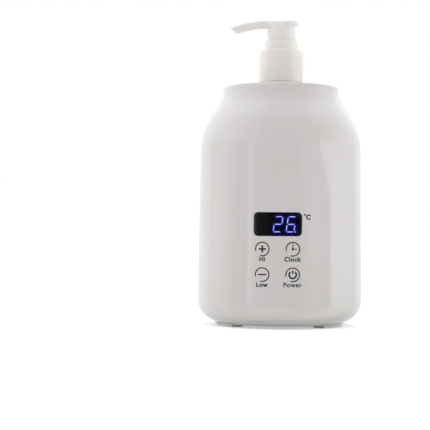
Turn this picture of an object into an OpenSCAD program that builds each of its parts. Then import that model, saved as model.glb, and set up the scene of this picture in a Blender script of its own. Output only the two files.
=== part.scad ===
// Warmer for a pump bottle of massage oil, in millimetres.
// The origin is on the table under the middle of the body. The display faces -Y and the spout -X.

/* [Outer shell] */
// Diameter of the body just above its rounded foot
body_d = 104.6; // [98:0.2:116]
// Height of the rim above the table
body_h = 151.2; // [136:0.2:175]
// Thickness of the moulded wall
wall = 2.4; // [1.8:0.1:3]
// Lean of the wall towards the axis, in degrees
draft = 0.78; // [0.2:0.02:1.6]
// Radius of the rounded foot
foot_round = 15; // [13:0.5:17]
// Radius of the convex shoulder
shoulder_round = 45; // [38:0.2:50]
// Straight slope between shoulder and neck
shoulder_flat = 5.5; // [3:0.1:10]
// Radius of the concave sweep into the neck
neck_round = 21; // [16:0.5:28]
// Lean of the neck below the rim, in degrees
neck_lean = 6.6; // [3:0.2:10]
// Straight length of the neck below the rim
neck_len = 2.8; // [2.7:0.1:5]
// Rounding of the rim's edges
rim_edge = 1.2; // [0.6:0.1:1.6]
// Width of the rim round the opening
rim_land = 4.6; // [3.8:0.1:6]
// Room round the bottle in the opening
opening_gap = 1.8; // [1.4:0.1:2.6]

/* [Base cover] */
// Height of the feet under the cover
foot_h = 1.8; // [1.2:0.1:3]
// Thickness of the cover
base_t = 2.4; // [2:0.1:3.2]
// Distance of the cover's opening from the outside of the body
base_inset = 11; // [10:0.1:12]
// Running gap round the cover
base_gap = 0.3; // [0.2:0.05:0.5]
// Number of feet
foot_count = 3; // [3:1:6]
// Arc of one foot, in degrees
foot_span = 31; // [24:1:40]
// Radial width of a foot
foot_w = 9.4; // [8:0.2:11]
// Height of the ring that carries the cup
seat_h = 6.3; // [5:0.1:9]
// Middle diameter of that ring
seat_d = 51; // [46:0.5:54]
// Radial width of that ring
seat_w = 3; // [2:0.2:4]
// Thickness of the cushion between ring and cup
cushion_t = 1.5; // [1:0.1:2.5]
// Radial width of the cushion
cushion_w = 6; // [4:0.2:7]
// Number of vent slots
vent_count = 5; // [3:1:7]
// Width of a vent slot
vent_w = 2; // [1.4:0.1:2.6]
// Spacing of the vent slots
vent_pitch = 5; // [4:0.2:6]
// Length of the longest vent slot
vent_len = 30; // [20:1:34]

/* [Heater] */
// Wall of the cup
cup_wall = 1; // [0.8:0.1:1.6]
// Floor of the cup
cup_floor = 1; // [0.8:0.1:2]
// Room between bottle and cup
bottle_gap = 1; // [0.6:0.1:2]
// Thickness of the cup's flange
flange_t = 1; // [0.8:0.1:1.5]
// Gap round the flange
flange_gap = 0.4; // [0.3:0.1:0.8]
// Thickness of the seal on the flange
seal_t = 0.5; // [0.3:0.1:1]
// Thickness of the heater band
band_t = 0.75; // [0.5:0.05:1.2]
// Height of the heater band
band_h = 70; // [50:1:84]
// Height of the band's lower edge above the table
band_z = 34; // [30:0.5:40]
// Width of the split in the band
band_split = 3.5; // [2:0.5:5]
// Thickness of the insulation sleeve
sleeve_t = 2.1; // [1.5:0.1:3]
// Length by which the sleeve covers more than the band
sleeve_over = 8; // [4:0.5:12]
// Gap between wrapped layers
layer_gap = 0.05; // [0.03:0.01:0.1]
// Diameter of the thermal fuse
fuse_d = 3.6; // [3:0.1:4]
// Length of the thermal fuse
fuse_len = 9; // [7:0.5:10]
// Diameter of the thermistor's lug
lug_d = 6.4; // [5:0.2:9]
// Thickness of the thermistor's lug
lug_t = 1.6; // [1.2:0.1:2.4]

/* [Display] */
// Width of the window
window_w = 29.1; // [26:0.1:33]
// Height of the window
window_h = 14.4; // [13:0.1:18]
// Corner radius of the window
window_corner = 2.6; // [1.5:0.1:4]
// Height of the window's middle above the table
window_z = 63.8; // [61:0.2:72]
// Gap round the lens in the window
lens_fit = 0.1; // [0.05:0.01:0.2]
// Lip of the lens behind the window
lens_lip = 1.8; // [1.4:0.1:3]
// Thickness of the lip
lens_lip_t = 1; // [0.8:0.1:1.6]
// Gap between lens and display
lens_gap = 0.25; // [0.15:0.05:0.6]
// Width of the display module
display_w = 27; // [25:0.2:29]
// Height of the display module
display_h = 13.6; // [12:0.2:15]
// Depth of the display module
display_t = 5.8; // [4.5:0.1:7]
// Height of a digit
digit_h = 9.2; // [8:0.1:10]
// Width of a digit
digit_w = 4.7; // [4:0.1:5.2]
// Spacing of the digits
digit_pitch = 7.9; // [7.2:0.1:8.2]
// Slant of the digits, in degrees
digit_slant = 8; // [0:1:10]
// Width of a segment
segment_w = 0.9; // [0.7:0.05:1.1]
// Thickness of the glowing faces
segment_t = 0.15; // [0.1:0.05:0.3]

/* [Touch keys] */
// Distance between the two columns of keys
key_pitch = 18.4; // [17:0.2:22]
// Height of the upper keys above the table
key_upper_z = 48.8; // [47:0.2:50]
// Height of the lower keys above the table
key_lower_z = 33.4; // [32:0.2:36]
// Diameter of the flat pad behind a key
key_pad_d = 9; // [8:0.2:11]
// Diameter of the wire of a touch spring
key_wire = 0.6; // [0.5:0.05:0.8]
// Outside diameter of a touch spring
key_spring_d = 6.4; // [5.6:0.1:7.2]
// Turns of a touch spring
key_turns = 5; // [3:1:6]

/* [Control board] */
// Width of the board
board_w = 38; // [36:0.5:42]
// Thickness of the board
board_t = 1.6; // [1:0.1:2]
// Height of the board's lower edge above the table
board_z = 13.5; // [13:0.1:15]
// Height of the board above the display module
board_over = 9.4; // [8.6:0.1:12]
// Room behind the board
board_gap = 2.2; // [2:0.1:4]
// Distance of the fixing holes from the board's edges
hole_inset = 3; // [2.8:0.1:4]
// Diameter of the boss behind a fixing hole
boss_d = 5.2; // [4.8:0.1:6]
// Width of the controller chip
chip_w = 8; // [6:0.5:10]
// Thickness of the controller chip
chip_t = 1.2; // [0.8:0.1:1.6]
// Width of a small part on the board
part_w = 3; // [2:0.2:3.4]
// Height of a small part on the board
part_t = 1; // [0.6:0.1:1.4]
// Diameter and height of the capacitor
capacitor_d = 5; // [4:0.5:5.5]

/* [Screws] */
// Diameter of all screws
screw_d = 2.5; // [2:0.1:2.8]
// Diameter of the heads
head_d = 4.6; // [4:0.1:5]
// Height of the heads
head_h = 1.6; // [1.2:0.1:1.9]
// Length of a screw below its head
screw_len = 7; // [6:0.5:8]
// Gap round a screw in its hole
screw_gap = 0.05; // [0.03:0.01:0.1]

/* [Power inlet] */
// Height of the inlet above the table
inlet_z = 21; // [20.6:0.1:24]
// Diameter of the inlet's flange
inlet_flange_d = 12.4; // [12:0.1:13.4]
// Thickness of the flange
inlet_flange_t = 1; // [0.8:0.1:1.4]
// Diameter of the inlet's barrel
inlet_d = 9.6; // [9:0.1:10.2]
// Length of the barrel
inlet_len = 13; // [12:0.2:14]
// Bore for the plug
plug_bore = 5.7; // [5.5:0.1:6]
// Diameter of the centre pin
plug_pin = 2; // [1.6:0.1:2.4]
// Depth of the bore
plug_depth = 9.5; // [8:0.5:10]
// Width of the nut across its flats
nut_w = 12; // [11.4:0.1:13]
// Thickness of the nut
nut_t = 2.5; // [2:0.1:3]

/* [Bottle] */
// Wall of the bottle
bottle_wall = 1.2; // [0.8:0.1:2]
// Rounding of the bottle's lower edge
bottle_round = 3; // [2:0.2:5]
// Rise of the bottle's shoulder
bottle_rise = 11.6; // [8:0.2:14]
// Room between the pump chamber and the neck
neck_clear = 1.6; // [1.2:0.1:2.2]
// Wall of the neck
neck_wall = 1.7; // [1.4:0.1:2.2]
// Pitch of the neck's thread
thread_pitch = 3.175; // [2.8:0.025:3.6]
// Turns of the thread
thread_turns = 1.5; // [1:0.25:1.75]
// Height of the thread's ridge
thread_ridge = 1.15; // [0.9:0.05:1.3]
// Overhang of the neck ring beyond the closure
ring_over = 0.4; // [0.2:0.1:0.8]

/* [Pump] */
// Height of the closure
closure_h = 20.5; // [19:0.1:24]
// Height of the closure's lower edge above the rim
closure_lift = 3.3; // [2.6:0.1:5]
// Wall of the closure
closure_wall = 1.9; // [1.5:0.1:2.6]
// Thickness of the closure's top
closure_top = 1.6; // [1.2:0.1:2.2]
// Rounding of the closure's top edge
closure_edge = 1.4; // [0.6:0.1:1.5]
// Height of the collar above the closure
collar_h = 5.9; // [5:0.1:7]
// Wall of the collar
collar_wall = 1.3; // [1:0.1:1.8]
// Diameter of the actuator's skirt
skirt_d = 17.9; // [16.5:0.1:19.5]
// Height of the skirt
skirt_h = 9.2; // [8.6:0.1:12]
// Wall of the skirt
skirt_wall = 1.05; // [0.8:0.05:1.4]
// Travel of the actuator
stroke = 7; // [5:0.1:7.6]
// Reach of the thumb pad behind the axis
pad_reach = 10.7; // [9.8:0.1:12]
// Depth of the dip in the thumb pad
pad_dip = 1.6; // [0.8:0.1:2]
// Reach of the spout from the axis
spout_reach = 33; // [28:0.1:40]
// Thickness of the spout at its root
spout_t = 5.1; // [4.6:0.1:6]
// Thickness of the spout at its tip
tip_t = 3.6; // [3.4:0.1:4.4]
// Width of the spout at its root
spout_w = 9.2; // [8:0.1:11]
// Width of the spout at its tip
tip_w = 8; // [7:0.1:9]
// Fall of the spout to its tip
tip_drop = 4.6; // [3:0.1:7]
// Bore of the pump chamber
chamber_d = 12.8; // [12:0.1:14]
// Wall of the pump chamber
chamber_wall = 1; // [0.8:0.05:1.4]
// Diameter of the stem
stem_d = 6; // [5.4:0.1:6.6]
// Passage in the stem
stem_bore = 3; // [2.4:0.1:3.4]
// Height of the piston
piston_h = 6.4; // [5:0.1:8]
// Slip of the piston on the stem
piston_slip = 0.8; // [0.5:0.1:1.2]
// Diameter of the spring's wire
spring_wire = 0.8; // [0.6:0.05:1]
// Turns of the spring
spring_turns = 6; // [4:1:7]
// Diameter of the inlet ball
ball_d = 4; // [3.4:0.1:4.4]
// Lift of the inlet ball
ball_lift = 1.2; // [0.8:0.1:1.6]
// Outside diameter of the dip tube
tube_d = 5.1; // [4.6:0.1:5.6]
// Wall of the dip tube
tube_wall = 0.65; // [0.5:0.05:0.9]
// Room between the dip tube and the bottle's floor
tube_gap = 2; // [1:0.5:5]

/* [Leads] */
// Diameter of the leads
lead_d = 1.4; // [1:0.1:1.6]
// Distance between the two leads of a pair
lead_pitch = 2.2; // [1.9:0.1:2.4]

/* [Hidden] */
$fn = 96;
eps = 0.5;          // overlap of cuts and of joined shapes
seat_margin = 0.25; // flat seats stand this far clear of the curved wall
play = 0.1;         // axial play of pump pieces
slide = 0.1;        // radial play of pump pieces that slide

// Body outline: foot arc, leaning wall, shoulder arc, flat, neck arc and lip
body_r = body_d / 2;
foot_c = [body_r - foot_round, foot_h + foot_round];
base_r = body_r - base_inset;
cover_r = base_r - base_gap;
cover_top = foot_h + base_t;
function wall_r(z, inset = 0) =
    foot_c.x + (foot_round - inset) / cos(draft) - (z - foot_c.y) * tan(draft);

// Stack of layers from the front of the shell to the bottle
lens_half = window_w / 2 + lens_lip;
lens_top = window_z + window_h / 2 + lens_lip;
lens_seat = sqrt(pow(wall_r(lens_top, wall), 2) - pow(lens_half, 2)) - seat_margin;
lens_back = lens_seat - lens_lip_t;
display_front = lens_back - lens_gap - segment_t;
board_front = display_front - display_t;
board_back = board_front - board_t;
sleeve_r = board_back - board_gap;
band_r = sleeve_r - sleeve_t - layer_gap;
cup_r = band_r - band_t - layer_gap;
cup_bore = cup_r - cup_wall;
bottle_r = cup_bore - bottle_gap;
opening_r = bottle_r + opening_gap;
rim_r = opening_r + rim_land;

// Slope at which shoulder arc, flat and neck arc together make the step from wall to rim
lean = tan(draft);
arc_sum = shoulder_round + neck_round;
slope_p = arc_sum + lean * shoulder_flat;
slope_q = shoulder_flat - lean * arc_sum;
slope_c = shoulder_round * cos(draft) + neck_round * cos(neck_lean) + neck_len * sin(neck_lean)
    + lean * (shoulder_round * sin(draft) + neck_round * sin(neck_lean) - neck_len * cos(neck_lean));
slope = acos((slope_c - wall_r(body_h) + rim_r) / norm([slope_p, slope_q])) - atan2(slope_q, slope_p);
shoulder_z = body_h - shoulder_round * (sin(slope) - sin(draft)) - shoulder_flat * cos(slope)
    - neck_round * (sin(slope) - sin(neck_lean)) - neck_len * cos(neck_lean);
shoulder_c = [wall_r(shoulder_z) - shoulder_round * cos(draft), shoulder_z - shoulder_round * sin(draft)];
neck_c = [rim_r + neck_len * sin(neck_lean) + neck_round * cos(neck_lean),
    body_h - neck_len * cos(neck_lean) + neck_round * sin(neck_lean)];
lip_z = body_h - wall;
neck_in_r = rim_r + wall * tan(neck_lean) - wall / cos(neck_lean);
function arc(c, r, a0, a1, n) =
    [for (i = [0:n]) c + r * [cos(a0 + (a1 - a0) * i / n), sin(a0 + (a1 - a0) * i / n)]];
function body_outline(inset) = concat(
    arc(foot_c, foot_round - inset, -acos((base_r - foot_c.x) / (foot_round - inset)), draft, 10),
    arc(shoulder_c, shoulder_round - inset, draft, slope, 10),
    arc(neck_c, neck_round + inset, 180 + slope, 180 + neck_lean, 8));
function backwards(points) = [for (i = [len(points) - 1:-1:0]) points[i]];

// Heights of the heater
cup_z = cover_top + seat_h + cushion_t;
flange_top = lip_z - seal_t;
flange_r = neck_in_r - flange_gap;

// Keys, board and screws
key_x = key_pitch / 2;
key_heights = [key_lower_z, key_upper_z];
key_seat = sqrt(pow(wall_r(key_upper_z, wall), 2) - pow(key_x + key_pad_d / 2, 2)) - seat_margin;
board_top = window_z + display_h / 2 + board_over;
hole_x = board_w / 2 - hole_inset;
hole_heights = [board_z + hole_inset, board_top - hole_inset];
pilot_r = screw_d / 2 + screw_gap;
foot_r = cover_r - 0.4;
foot_screw_r = foot_r - foot_w / 2;
foot_sink = 2;
foot_boss_h = screw_len - (cover_top - foot_sink) + 2.5;
foot_boss_r = boss_d / 2 + 0.4;
first_foot = 90;
plug_pitch = hole_x - boss_d / 2 - lead_pitch / 2 - lead_d / 2 - 0.6;
plug_size = [plug_pitch - 2, 5.5, 5.5];
plug_z = hole_heights[0] + boss_d / 2 + 0.5;
plug_y = board_front + plug_size.z / 2;

// Power inlet
inlet_face = sqrt(pow(wall_r(inlet_z), 2) - pow(inlet_flange_d / 2, 2)) - inlet_flange_t + 0.2;
inlet_pad = wall_r(inlet_z, wall) - 1.2;
inlet_end = inlet_face - inlet_len;
tab_len = 4;
tab_x = 2.4;

// Pump radii from the chamber outwards
stem_r = stem_d / 2;
chamber_r = chamber_d / 2;
housing_r = chamber_r + chamber_wall;
neck_bore_r = housing_r + neck_clear;
neck_r = neck_bore_r + neck_wall;
crest_r = neck_r + thread_ridge;
skirt_r = skirt_d / 2;
collar_bore = skirt_r + 0.3;
collar_r = collar_bore + collar_wall;
sleeve_out = collar_r - 0.35;
closure_hole = sleeve_out + 0.2;
housing_rim_in = sleeve_out + slide;
housing_flange_r = max(neck_r + 0.9, housing_rim_in + 1.3);
closure_bore = max(housing_flange_r + 0.55, crest_r + 0.3);
closure_r = closure_bore + closure_wall;

// Pump heights from the closure
closure_z = body_h + closure_lift;
closure_top_z = closure_z + closure_h;
housing_top = closure_top_z - closure_top - play;
housing_rim_h = 1.3;
housing_flange_t = 1.4;
gasket_t = 1;
flange_top_z = housing_top - housing_rim_h;
flange_low_z = flange_top_z - housing_flange_t;
land_z = flange_low_z - gasket_t;
neck_base = closure_z - 0.9;
collar_floor = flange_top_z + layer_gap;
collar_floor_t = 0.95;
collar_z = closure_top_z + play;
collar_top = collar_z + collar_h;
skirt_z = collar_floor + collar_floor_t + stroke + 0.2;
head_z = skirt_z + skirt_h;
crest_z = head_z + spout_t;
guide_h = 1.95;
step_h = 1.1;
step_top = collar_floor - guide_h - play;
piston_z = step_top - step_h - piston_slip - play - piston_h;
stem_flange_t = 1.1;
stem_z = piston_z - stem_flange_t;
stem_top = head_z - 1;
spring_len = stroke + spring_turns * spring_wire + 1.7;
cage_t = 1;
chamber_z = stem_z - spring_len - cage_t;

// Inlet valve and dip tube
ball_r = ball_d / 2;
ball_bore = ball_r + 0.7;
seat_hole = ball_r - 0.8;
seat_top = chamber_z - ball_d - ball_lift - 1.8;
seat_low = seat_top - (ball_bore - seat_hole);
ball_z = seat_low - seat_hole + (ball_r + 0.03) * sqrt(2);
socket_top = seat_low - 0.6;
socket_len = 11;
socket_wall = 1.2;
tube_r = tube_d / 2;
bottle_z = cup_z + cup_floor + play;
tube_low = bottle_z + bottle_wall + tube_gap;

// Threads: the closure's ridge lies half a pitch below the neck's
thread_rise = thread_turns * thread_pitch;
neck_thread_z = land_z - 2.1 - thread_rise;
closure_thread_z = neck_thread_z - thread_pitch / 2;

// Sweeps: rings of points joined by triangles, with flat ends
function ring_faces(rings, sides) = concat(
    [for (i = [0:rings - 2], j = [0:sides - 1])
        each let (a = i * sides + j, b = i * sides + (j + 1) % sides)
            [[a, b + sides, b], [a, a + sides, b + sides]]],
    [for (j = [1:sides - 2]) [0, j, j + 1]],
    [for (j = [1:sides - 2]) let (o = (rings - 1) * sides) [o, o + j + 1, o + j]]);
module sweep(rings) {
    sides = len(rings[0]);
    polyhedron([for (ring = rings) each ring], ring_faces(len(rings), sides), convexity = 6);
}
function unit(v) = v / norm(v);
function heading(path, i) = unit(path[min(i + 1, len(path) - 1)] - path[max(i - 1, 0)]);
function square_to(n, t) = unit(n - (n * t) * t);
function tube_rings(path, r, sides, first) =
    [for (i = 0, n = square_to(first, heading(path, 0)); i < len(path);
            i = i + 1, n = square_to(n, heading(path, min(i, len(path) - 1))))
        let (b = cross(heading(path, i), n))
            [for (j = [0:sides - 1])
                path[i] + r * (cos(360 * j / sides) * n + sin(360 * j / sides) * b)]];
function helix(r, z0, z1, turns, per_turn) =
    [for (i = [0:turns * per_turn]) let (a = 360 * i / per_turn)
        [r * cos(a), r * sin(a), z0 + (z1 - z0) * i / (turns * per_turn)]];
function blend(p, q, s, t, u) = 0.5 * (2 * q + (s - p) * u + (2 * p - 5 * q + 4 * s - t) * u * u
    + (3 * q - p - 3 * s + t) * u * u * u);
function smooth(points, steps) = concat(
    [for (i = [0:len(points) - 2], k = [0:steps - 1])
        blend(points[max(i - 1, 0)], points[i], points[i + 1], points[min(i + 2, len(points) - 1)],
            k / steps)],
    [points[len(points) - 1]]);
module lead(points) sweep(tube_rings(smooth(points, 4), lead_d / 2, 8, [1, 0.2, 0.1]));
module coil(r, wire, z0, z1, turns) {
    path = helix(r, z0 + wire / 2, z1 - wire / 2, turns, 8);
    sweep(tube_rings(path, wire / 2, 6, [1, 0, 0]));
}
module thread(root, crest, z, base, top, turns, pitch) {
    steps = round(24 * turns);
    section = [[root, -base], [root, base], [crest, top], [crest, -top]];
    sweep([for (i = [0:steps]) let (a = 360 * turns * i / steps, h = z + pitch * a / 360)
        [for (p = crest > root ? section : backwards(section)) [p.x * cos(a), p.x * sin(a), h + p.y / 2]]]);
}

// Shapes used by several pieces
module at(z) translate([0, 0, z]) children();
module tube(outer, inner, z0, z1) at(z0) difference() {
    cylinder(r = outer, h = z1 - z0);
    at(-eps) cylinder(r = inner, h = z1 - z0 + 2 * eps);
}
module on_front(depth) translate([0, -depth, 0]) rotate([90, 0, 0]) children();
module on_back(depth) translate([0, depth, 0]) rotate([-90, 0, 0]) children();
module rounded(w, h, r) {
    square([w - 2 * r, h], center = true);
    square([w, h - 2 * r], center = true);
    for (x = [-1, 1], y = [-1, 1]) translate([x * (w / 2 - r), y * (h / 2 - r)]) circle(r);
}
module body_solid(inset) {
    outline = body_outline(inset);
    rotate_extrude() polygon(concat([[0, outline[0].y]], outline,
        [[neck_in_r, lip_z], [0, lip_z]]));
}
module window(depth, length, grow) on_front(depth) translate([0, window_z])
    linear_extrude(length) rounded(window_w + 2 * grow, window_h + 2 * grow, window_corner + max(grow, 0));
module at_keys() for (x = [-key_x, key_x], z = key_heights) translate([x, z]) children();
module at_holes() for (x = [-hole_x, hole_x], z = hole_heights) translate([x, z]) children();
module at_feet() for (i = [0:foot_count - 1]) rotate(first_foot + 360 * i / foot_count) children();
module screw() {
    cylinder(d = head_d, h = head_h);
    at(head_h - eps) cylinder(d = screw_d, h = screw_len + eps);
}

// Body
module shell_ring() rotate_extrude() polygon(concat(body_outline(0),
    arc([rim_r - rim_edge / tan(45 + neck_lean / 2), body_h - rim_edge], rim_edge, neck_lean, 90, 5),
    arc([opening_r + rim_edge / 2, body_h - rim_edge / 2], rim_edge / 2, 90, 180, 3),
    [[opening_r, lip_z], [neck_in_r, lip_z]], backwards(body_outline(wall))));
module shell_seats() intersection() {
    body_solid(wall / 2);
    union() {
        window(lens_seat, body_r, lens_lip + 0.5);
        on_front(key_seat) at_keys() cylinder(d = key_pad_d, h = body_r);
        on_front(board_front) at_holes() cylinder(d = boss_d, h = body_r);
        on_back(inlet_pad) translate([0, -inlet_z]) cylinder(d = inlet_flange_d + 3, h = body_r);
        at_feet() {
            translate([foot_screw_r, 0, cover_top]) cylinder(r = foot_boss_r, h = foot_boss_h);
            translate([foot_screw_r, -0.9, cover_top + 0.5]) cube([base_inset * 2, 1.8, foot_boss_h - 0.5]);
        }
    }
}
module outer_shell() color("white") difference() {
    union() {
        shell_ring();
        shell_seats();
    }
    window(lens_seat - eps, body_r, 0);
    on_front(board_front - eps) at_holes() cylinder(r = pilot_r, h = screw_len - board_t + 1 + eps);
    at_feet() translate([foot_screw_r, 0, cover_top - eps])
        cylinder(r = pilot_r, h = foot_boss_h - 1.5 + eps);
    on_back(inlet_pad - eps) translate([0, -inlet_z]) cylinder(d = inlet_d + 0.4, h = body_r);
    on_back(inlet_face) translate([0, -inlet_z]) cylinder(d = inlet_flange_d + 0.6, h = body_r);
}
module base_cover() color("white") difference() {
    union() {
        at(foot_h) cylinder(r = cover_r, h = base_t);
        at_feet() rotate(-foot_span / 2) rotate_extrude(angle = foot_span)
            translate([foot_r - foot_w, 0]) square([foot_w, foot_h + eps]);
        tube((seat_d + seat_w) / 2, (seat_d - seat_w) / 2, foot_h + eps, cover_top + seat_h);
    }
    at_feet() translate([foot_screw_r, 0, 0]) {
        at(-eps) cylinder(d = head_d + 0.6, h = foot_sink + eps);
        cylinder(r = pilot_r, h = cover_top + eps);
    }
    for (i = [0:vent_count - 1]) let (y = (i - (vent_count - 1) / 2) * vent_pitch)
        translate([-vent_len / 2 + abs(y) / 2, y - vent_w / 2, foot_h - eps])
            cube([vent_len - abs(y), vent_w, base_t + 2 * eps]);
    translate([-2 * lead_pitch, -seat_d / 2 - seat_w, cover_top + seat_h / 3])
        cube([4 * lead_pitch, 2 * seat_w, seat_h]);
}
module base_screws() color("silver") at_feet()
    translate([foot_screw_r, 0, foot_sink - head_h]) screw();

// Heater
module cup_cushion() color("dimgray")
    tube((seat_d + cushion_w) / 2, (seat_d - cushion_w) / 2, cup_z - cushion_t, cup_z);
module heater_cup() color("silver") rotate_extrude() polygon([[0, cup_z], [cup_r, cup_z],
    [cup_r, flange_top - flange_t], [flange_r, flange_top - flange_t], [flange_r, flange_top],
    [cup_bore, flange_top], [cup_bore, cup_z + cup_floor], [0, cup_z + cup_floor]]);
module cup_seal() color("dimgray") tube(flange_r, cup_r, flange_top, lip_z);
lead_turn = 7.5;      // angle of each band terminal from the split, in degrees
split_turn = -122.5;  // angle of the split in the band, left of the display
tab_h = 2;
fuse_r = cup_r + layer_gap + fuse_d / 2;
fuse_z = band_z - tab_h - 3 - fuse_len;
module heater_band() color("peru") {
    difference() {
        tube(band_r, cup_r + layer_gap, band_z, band_z + band_h);
        rotate(split_turn) translate([0, -band_split / 2, band_z - eps])
            cube([body_r, band_split, band_h + 2 * eps]);
    }
    for (turn = [-lead_turn, lead_turn]) rotate(split_turn + turn) {
        translate([cup_r + 2 * layer_gap, -1.3, band_z - tab_h])
            cube([band_t - 3 * layer_gap, 2.6, tab_h + 2]);
        translate([cup_r + 2 * layer_gap, -1.3, band_z - tab_h])
            cube([fuse_d / 2 + lead_d / 2, 2.6, tab_h - layer_gap]);
    }
}
module insulation_sleeve() color("gainsboro")
    tube(sleeve_r, band_r + layer_gap, band_z, band_z + band_h + sleeve_over);
module thermistor() color("goldenrod") at(cup_z - lug_t) {
    cylinder(d = lug_d, h = lug_t);
    translate([0, -lug_d / 2, lug_t / 2]) cube([lead_pitch + lead_d, lug_d, lug_t], center = true);
}
module thermal_fuse() color("tan") rotate(split_turn - lead_turn)
    translate([fuse_r, 0, fuse_z]) cylinder(d = fuse_d, h = fuse_len);
module fuse_clip() color("silver") difference() {
    rotate(split_turn - lead_turn) translate([fuse_r, 0, 0])
        tube(fuse_d / 2 + 0.6, fuse_d / 2 + layer_gap, fuse_z + 3, fuse_z + fuse_len - 3);
    at(fuse_z) cylinder(r = cup_r + layer_gap, h = fuse_len);
}

// Control board and display
module control_board() color("darkgreen") on_front(board_back) difference() {
    translate([-board_w / 2, board_z]) cube([board_w, board_top - board_z, board_t]);
    at_holes() at(-eps) cylinder(r = pilot_r, h = board_t + 2 * eps);
}
module board_parts() color("black") on_front(board_front) {
    translate([-chip_w / 2, (key_upper_z + key_lower_z - chip_w) / 2]) cube([chip_w, chip_w, chip_t]);
    translate([0, key_lower_z - chip_w / 2]) cylinder(d = capacitor_d, h = capacitor_d);
    for (side = [-1, 1]) translate([(side * chip_w - part_w) / 2, key_upper_z - part_w / 2])
        cube([part_w, part_w, part_t]);
    for (z = key_heights) translate([-part_w / 3, z - part_w / 5])
        cube([part_w * 2 / 3, part_w * 2 / 5, part_t * 2 / 3]);
}
module lead_connectors() color("ivory") on_front(board_front) for (i = [-1:1])
    translate([i * plug_pitch - plug_size.x / 2, plug_z]) cube(plug_size);
module display_module() color("black") on_front(board_front)
    translate([-display_w / 2, window_z - display_h / 2]) cube([display_w, display_h, display_t]);
function slanted(p) = [p.x + p.y * tan(digit_slant), p.y];
function bar(a, b) = let (u = unit(b - a), n = [-u.y, u.x] * segment_w / 2, g = u * segment_w / 6,
    e = u * segment_w * 2 / 3) [a + g, a + e + n, b - e + n, b - g, b - e - n, a + e - n];
digit_corners = [for (y = [-1, 0, 1], x = [-1, 1]) [x * digit_w / 2, y * digit_h / 2]];
segment_ends = [[4, 5], [5, 3], [3, 1], [0, 1], [0, 2], [2, 4], [2, 3]];
lit = [[], [0, 1, 3, 4, 6], [0, 2, 3, 4, 5, 6]];
module segments(shown) on_front(display_front) translate([0, window_z]) {
    for (d = [0:2], s = [0:6]) if ((len(search(s, lit[d])) > 0) == shown)
        translate([(d - 1) * digit_pitch, 0]) linear_extrude(segment_t)
            polygon([for (p = bar(digit_corners[segment_ends[s][0]], digit_corners[segment_ends[s][1]]))
                slanted(p)]);
    for (d = [0:2]) if ((d == 2) == shown)
        translate([(d - 1) * digit_pitch + digit_w / 2 + 0.2, -digit_h / 2])
            cylinder(d = segment_w * 1.2, h = segment_t);
}
module lit_segments() color("royalblue") segments(true);
module dark_segments() color("darkslategray") segments(false);
module display_window() color("black") {
    window(lens_back, lens_lip_t, lens_lip);
    intersection() {
        window(lens_back, body_r, -lens_fit);
        body_solid(0);
    }
}
module touch_springs() color("gold") on_front(board_front) at_keys()
    coil((key_spring_d - key_wire) / 2, key_wire, layer_gap, key_seat - board_front - layer_gap, key_turns);
module board_screws() color("silver") on_front(board_back - head_h) at_holes() screw();

// Power inlet and leads
module power_inlet() color("dimgray") on_back(inlet_end) translate([0, -inlet_z]) {
    difference() {
        union() {
            cylinder(d = inlet_d, h = inlet_len + eps);
            at(inlet_len) cylinder(d = inlet_flange_d, h = inlet_flange_t);
        }
        at(inlet_len + inlet_flange_t - plug_depth) cylinder(d = plug_bore, h = plug_depth + eps);
    }
    at(inlet_len + inlet_flange_t - plug_depth - eps) cylinder(d = plug_pin, h = plug_depth - 1);
    for (x = [-tab_x, tab_x]) translate([x - 0.9, -0.4, -tab_len]) cube([1.8, 0.8, tab_len + eps]);
}
module inlet_nut() color("silver") on_back(inlet_pad - nut_t) translate([0, -inlet_z]) difference() {
    cylinder(d = nut_w / cos(30), h = nut_t, $fn = 6);
    at(-eps) cylinder(d = inlet_d + 0.2, h = nut_t + 2 * eps);
}
// Leads pass round midway between the ring under the cup and the bosses over the feet
lead_r = ((seat_d + seat_w) / 2 + foot_screw_r - foot_boss_r) / 2;
lead_z = cover_top + seat_h * 0.6;
lead_end = 0.1;                     // leads stop this far from what they feed
function around(r, turn, z) = [r * cos(turn), r * sin(turn), z];
function into_plug(x) = [[x, -plug_y + 5, lead_z], [x, -plug_y, lead_z + 4], [x, -plug_y, plug_z - lead_end]];
module power_leads() color("red") for (side = [-1, 1]) let (o = side * lead_pitch / 2) lead(concat(
    [for (down = [0.4 + 2 * lead_end, 3]) [side * tab_x, inlet_end - tab_len + 1, inlet_z - down]],
    [around(cup_r + 2.6, 84 - 4 * side, cup_z + 2), around(cup_r + 2, 76 - 4 * side, cup_z - 0.5)],
    [for (turn = [62:-16:-50]) around(lead_r + o, turn, lead_z)], into_plug(plug_pitch + o)));
module sensor_leads() color("black") for (side = [-1, 1]) let (x = side * lead_pitch / 2) lead(concat(
    [for (out = [lead_end, 2]) [x, -lug_d - out, cup_z - lug_t / 2 - lead_end]],
    [[x, -lug_d - 6, lead_z], [x, -seat_d / 2, lead_z]], into_plug(x)));
module heater_leads() color("white") {
    lead([for (z = [band_z - tab_h - lead_end, fuse_z + fuse_len + lead_end])
        around(fuse_r, split_turn - lead_turn, z)]);
    for (side = [-1, 1]) let (top = side < 0 ? fuse_z : band_z - tab_h,
            turn = split_turn + side * lead_turn, x = -plug_pitch + side * lead_pitch / 2)
        lead(concat([for (z = [top - lead_end, (top + cup_z) / 2, cup_z]) around(fuse_r, turn, z)],
            into_plug(x)));
}

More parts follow.
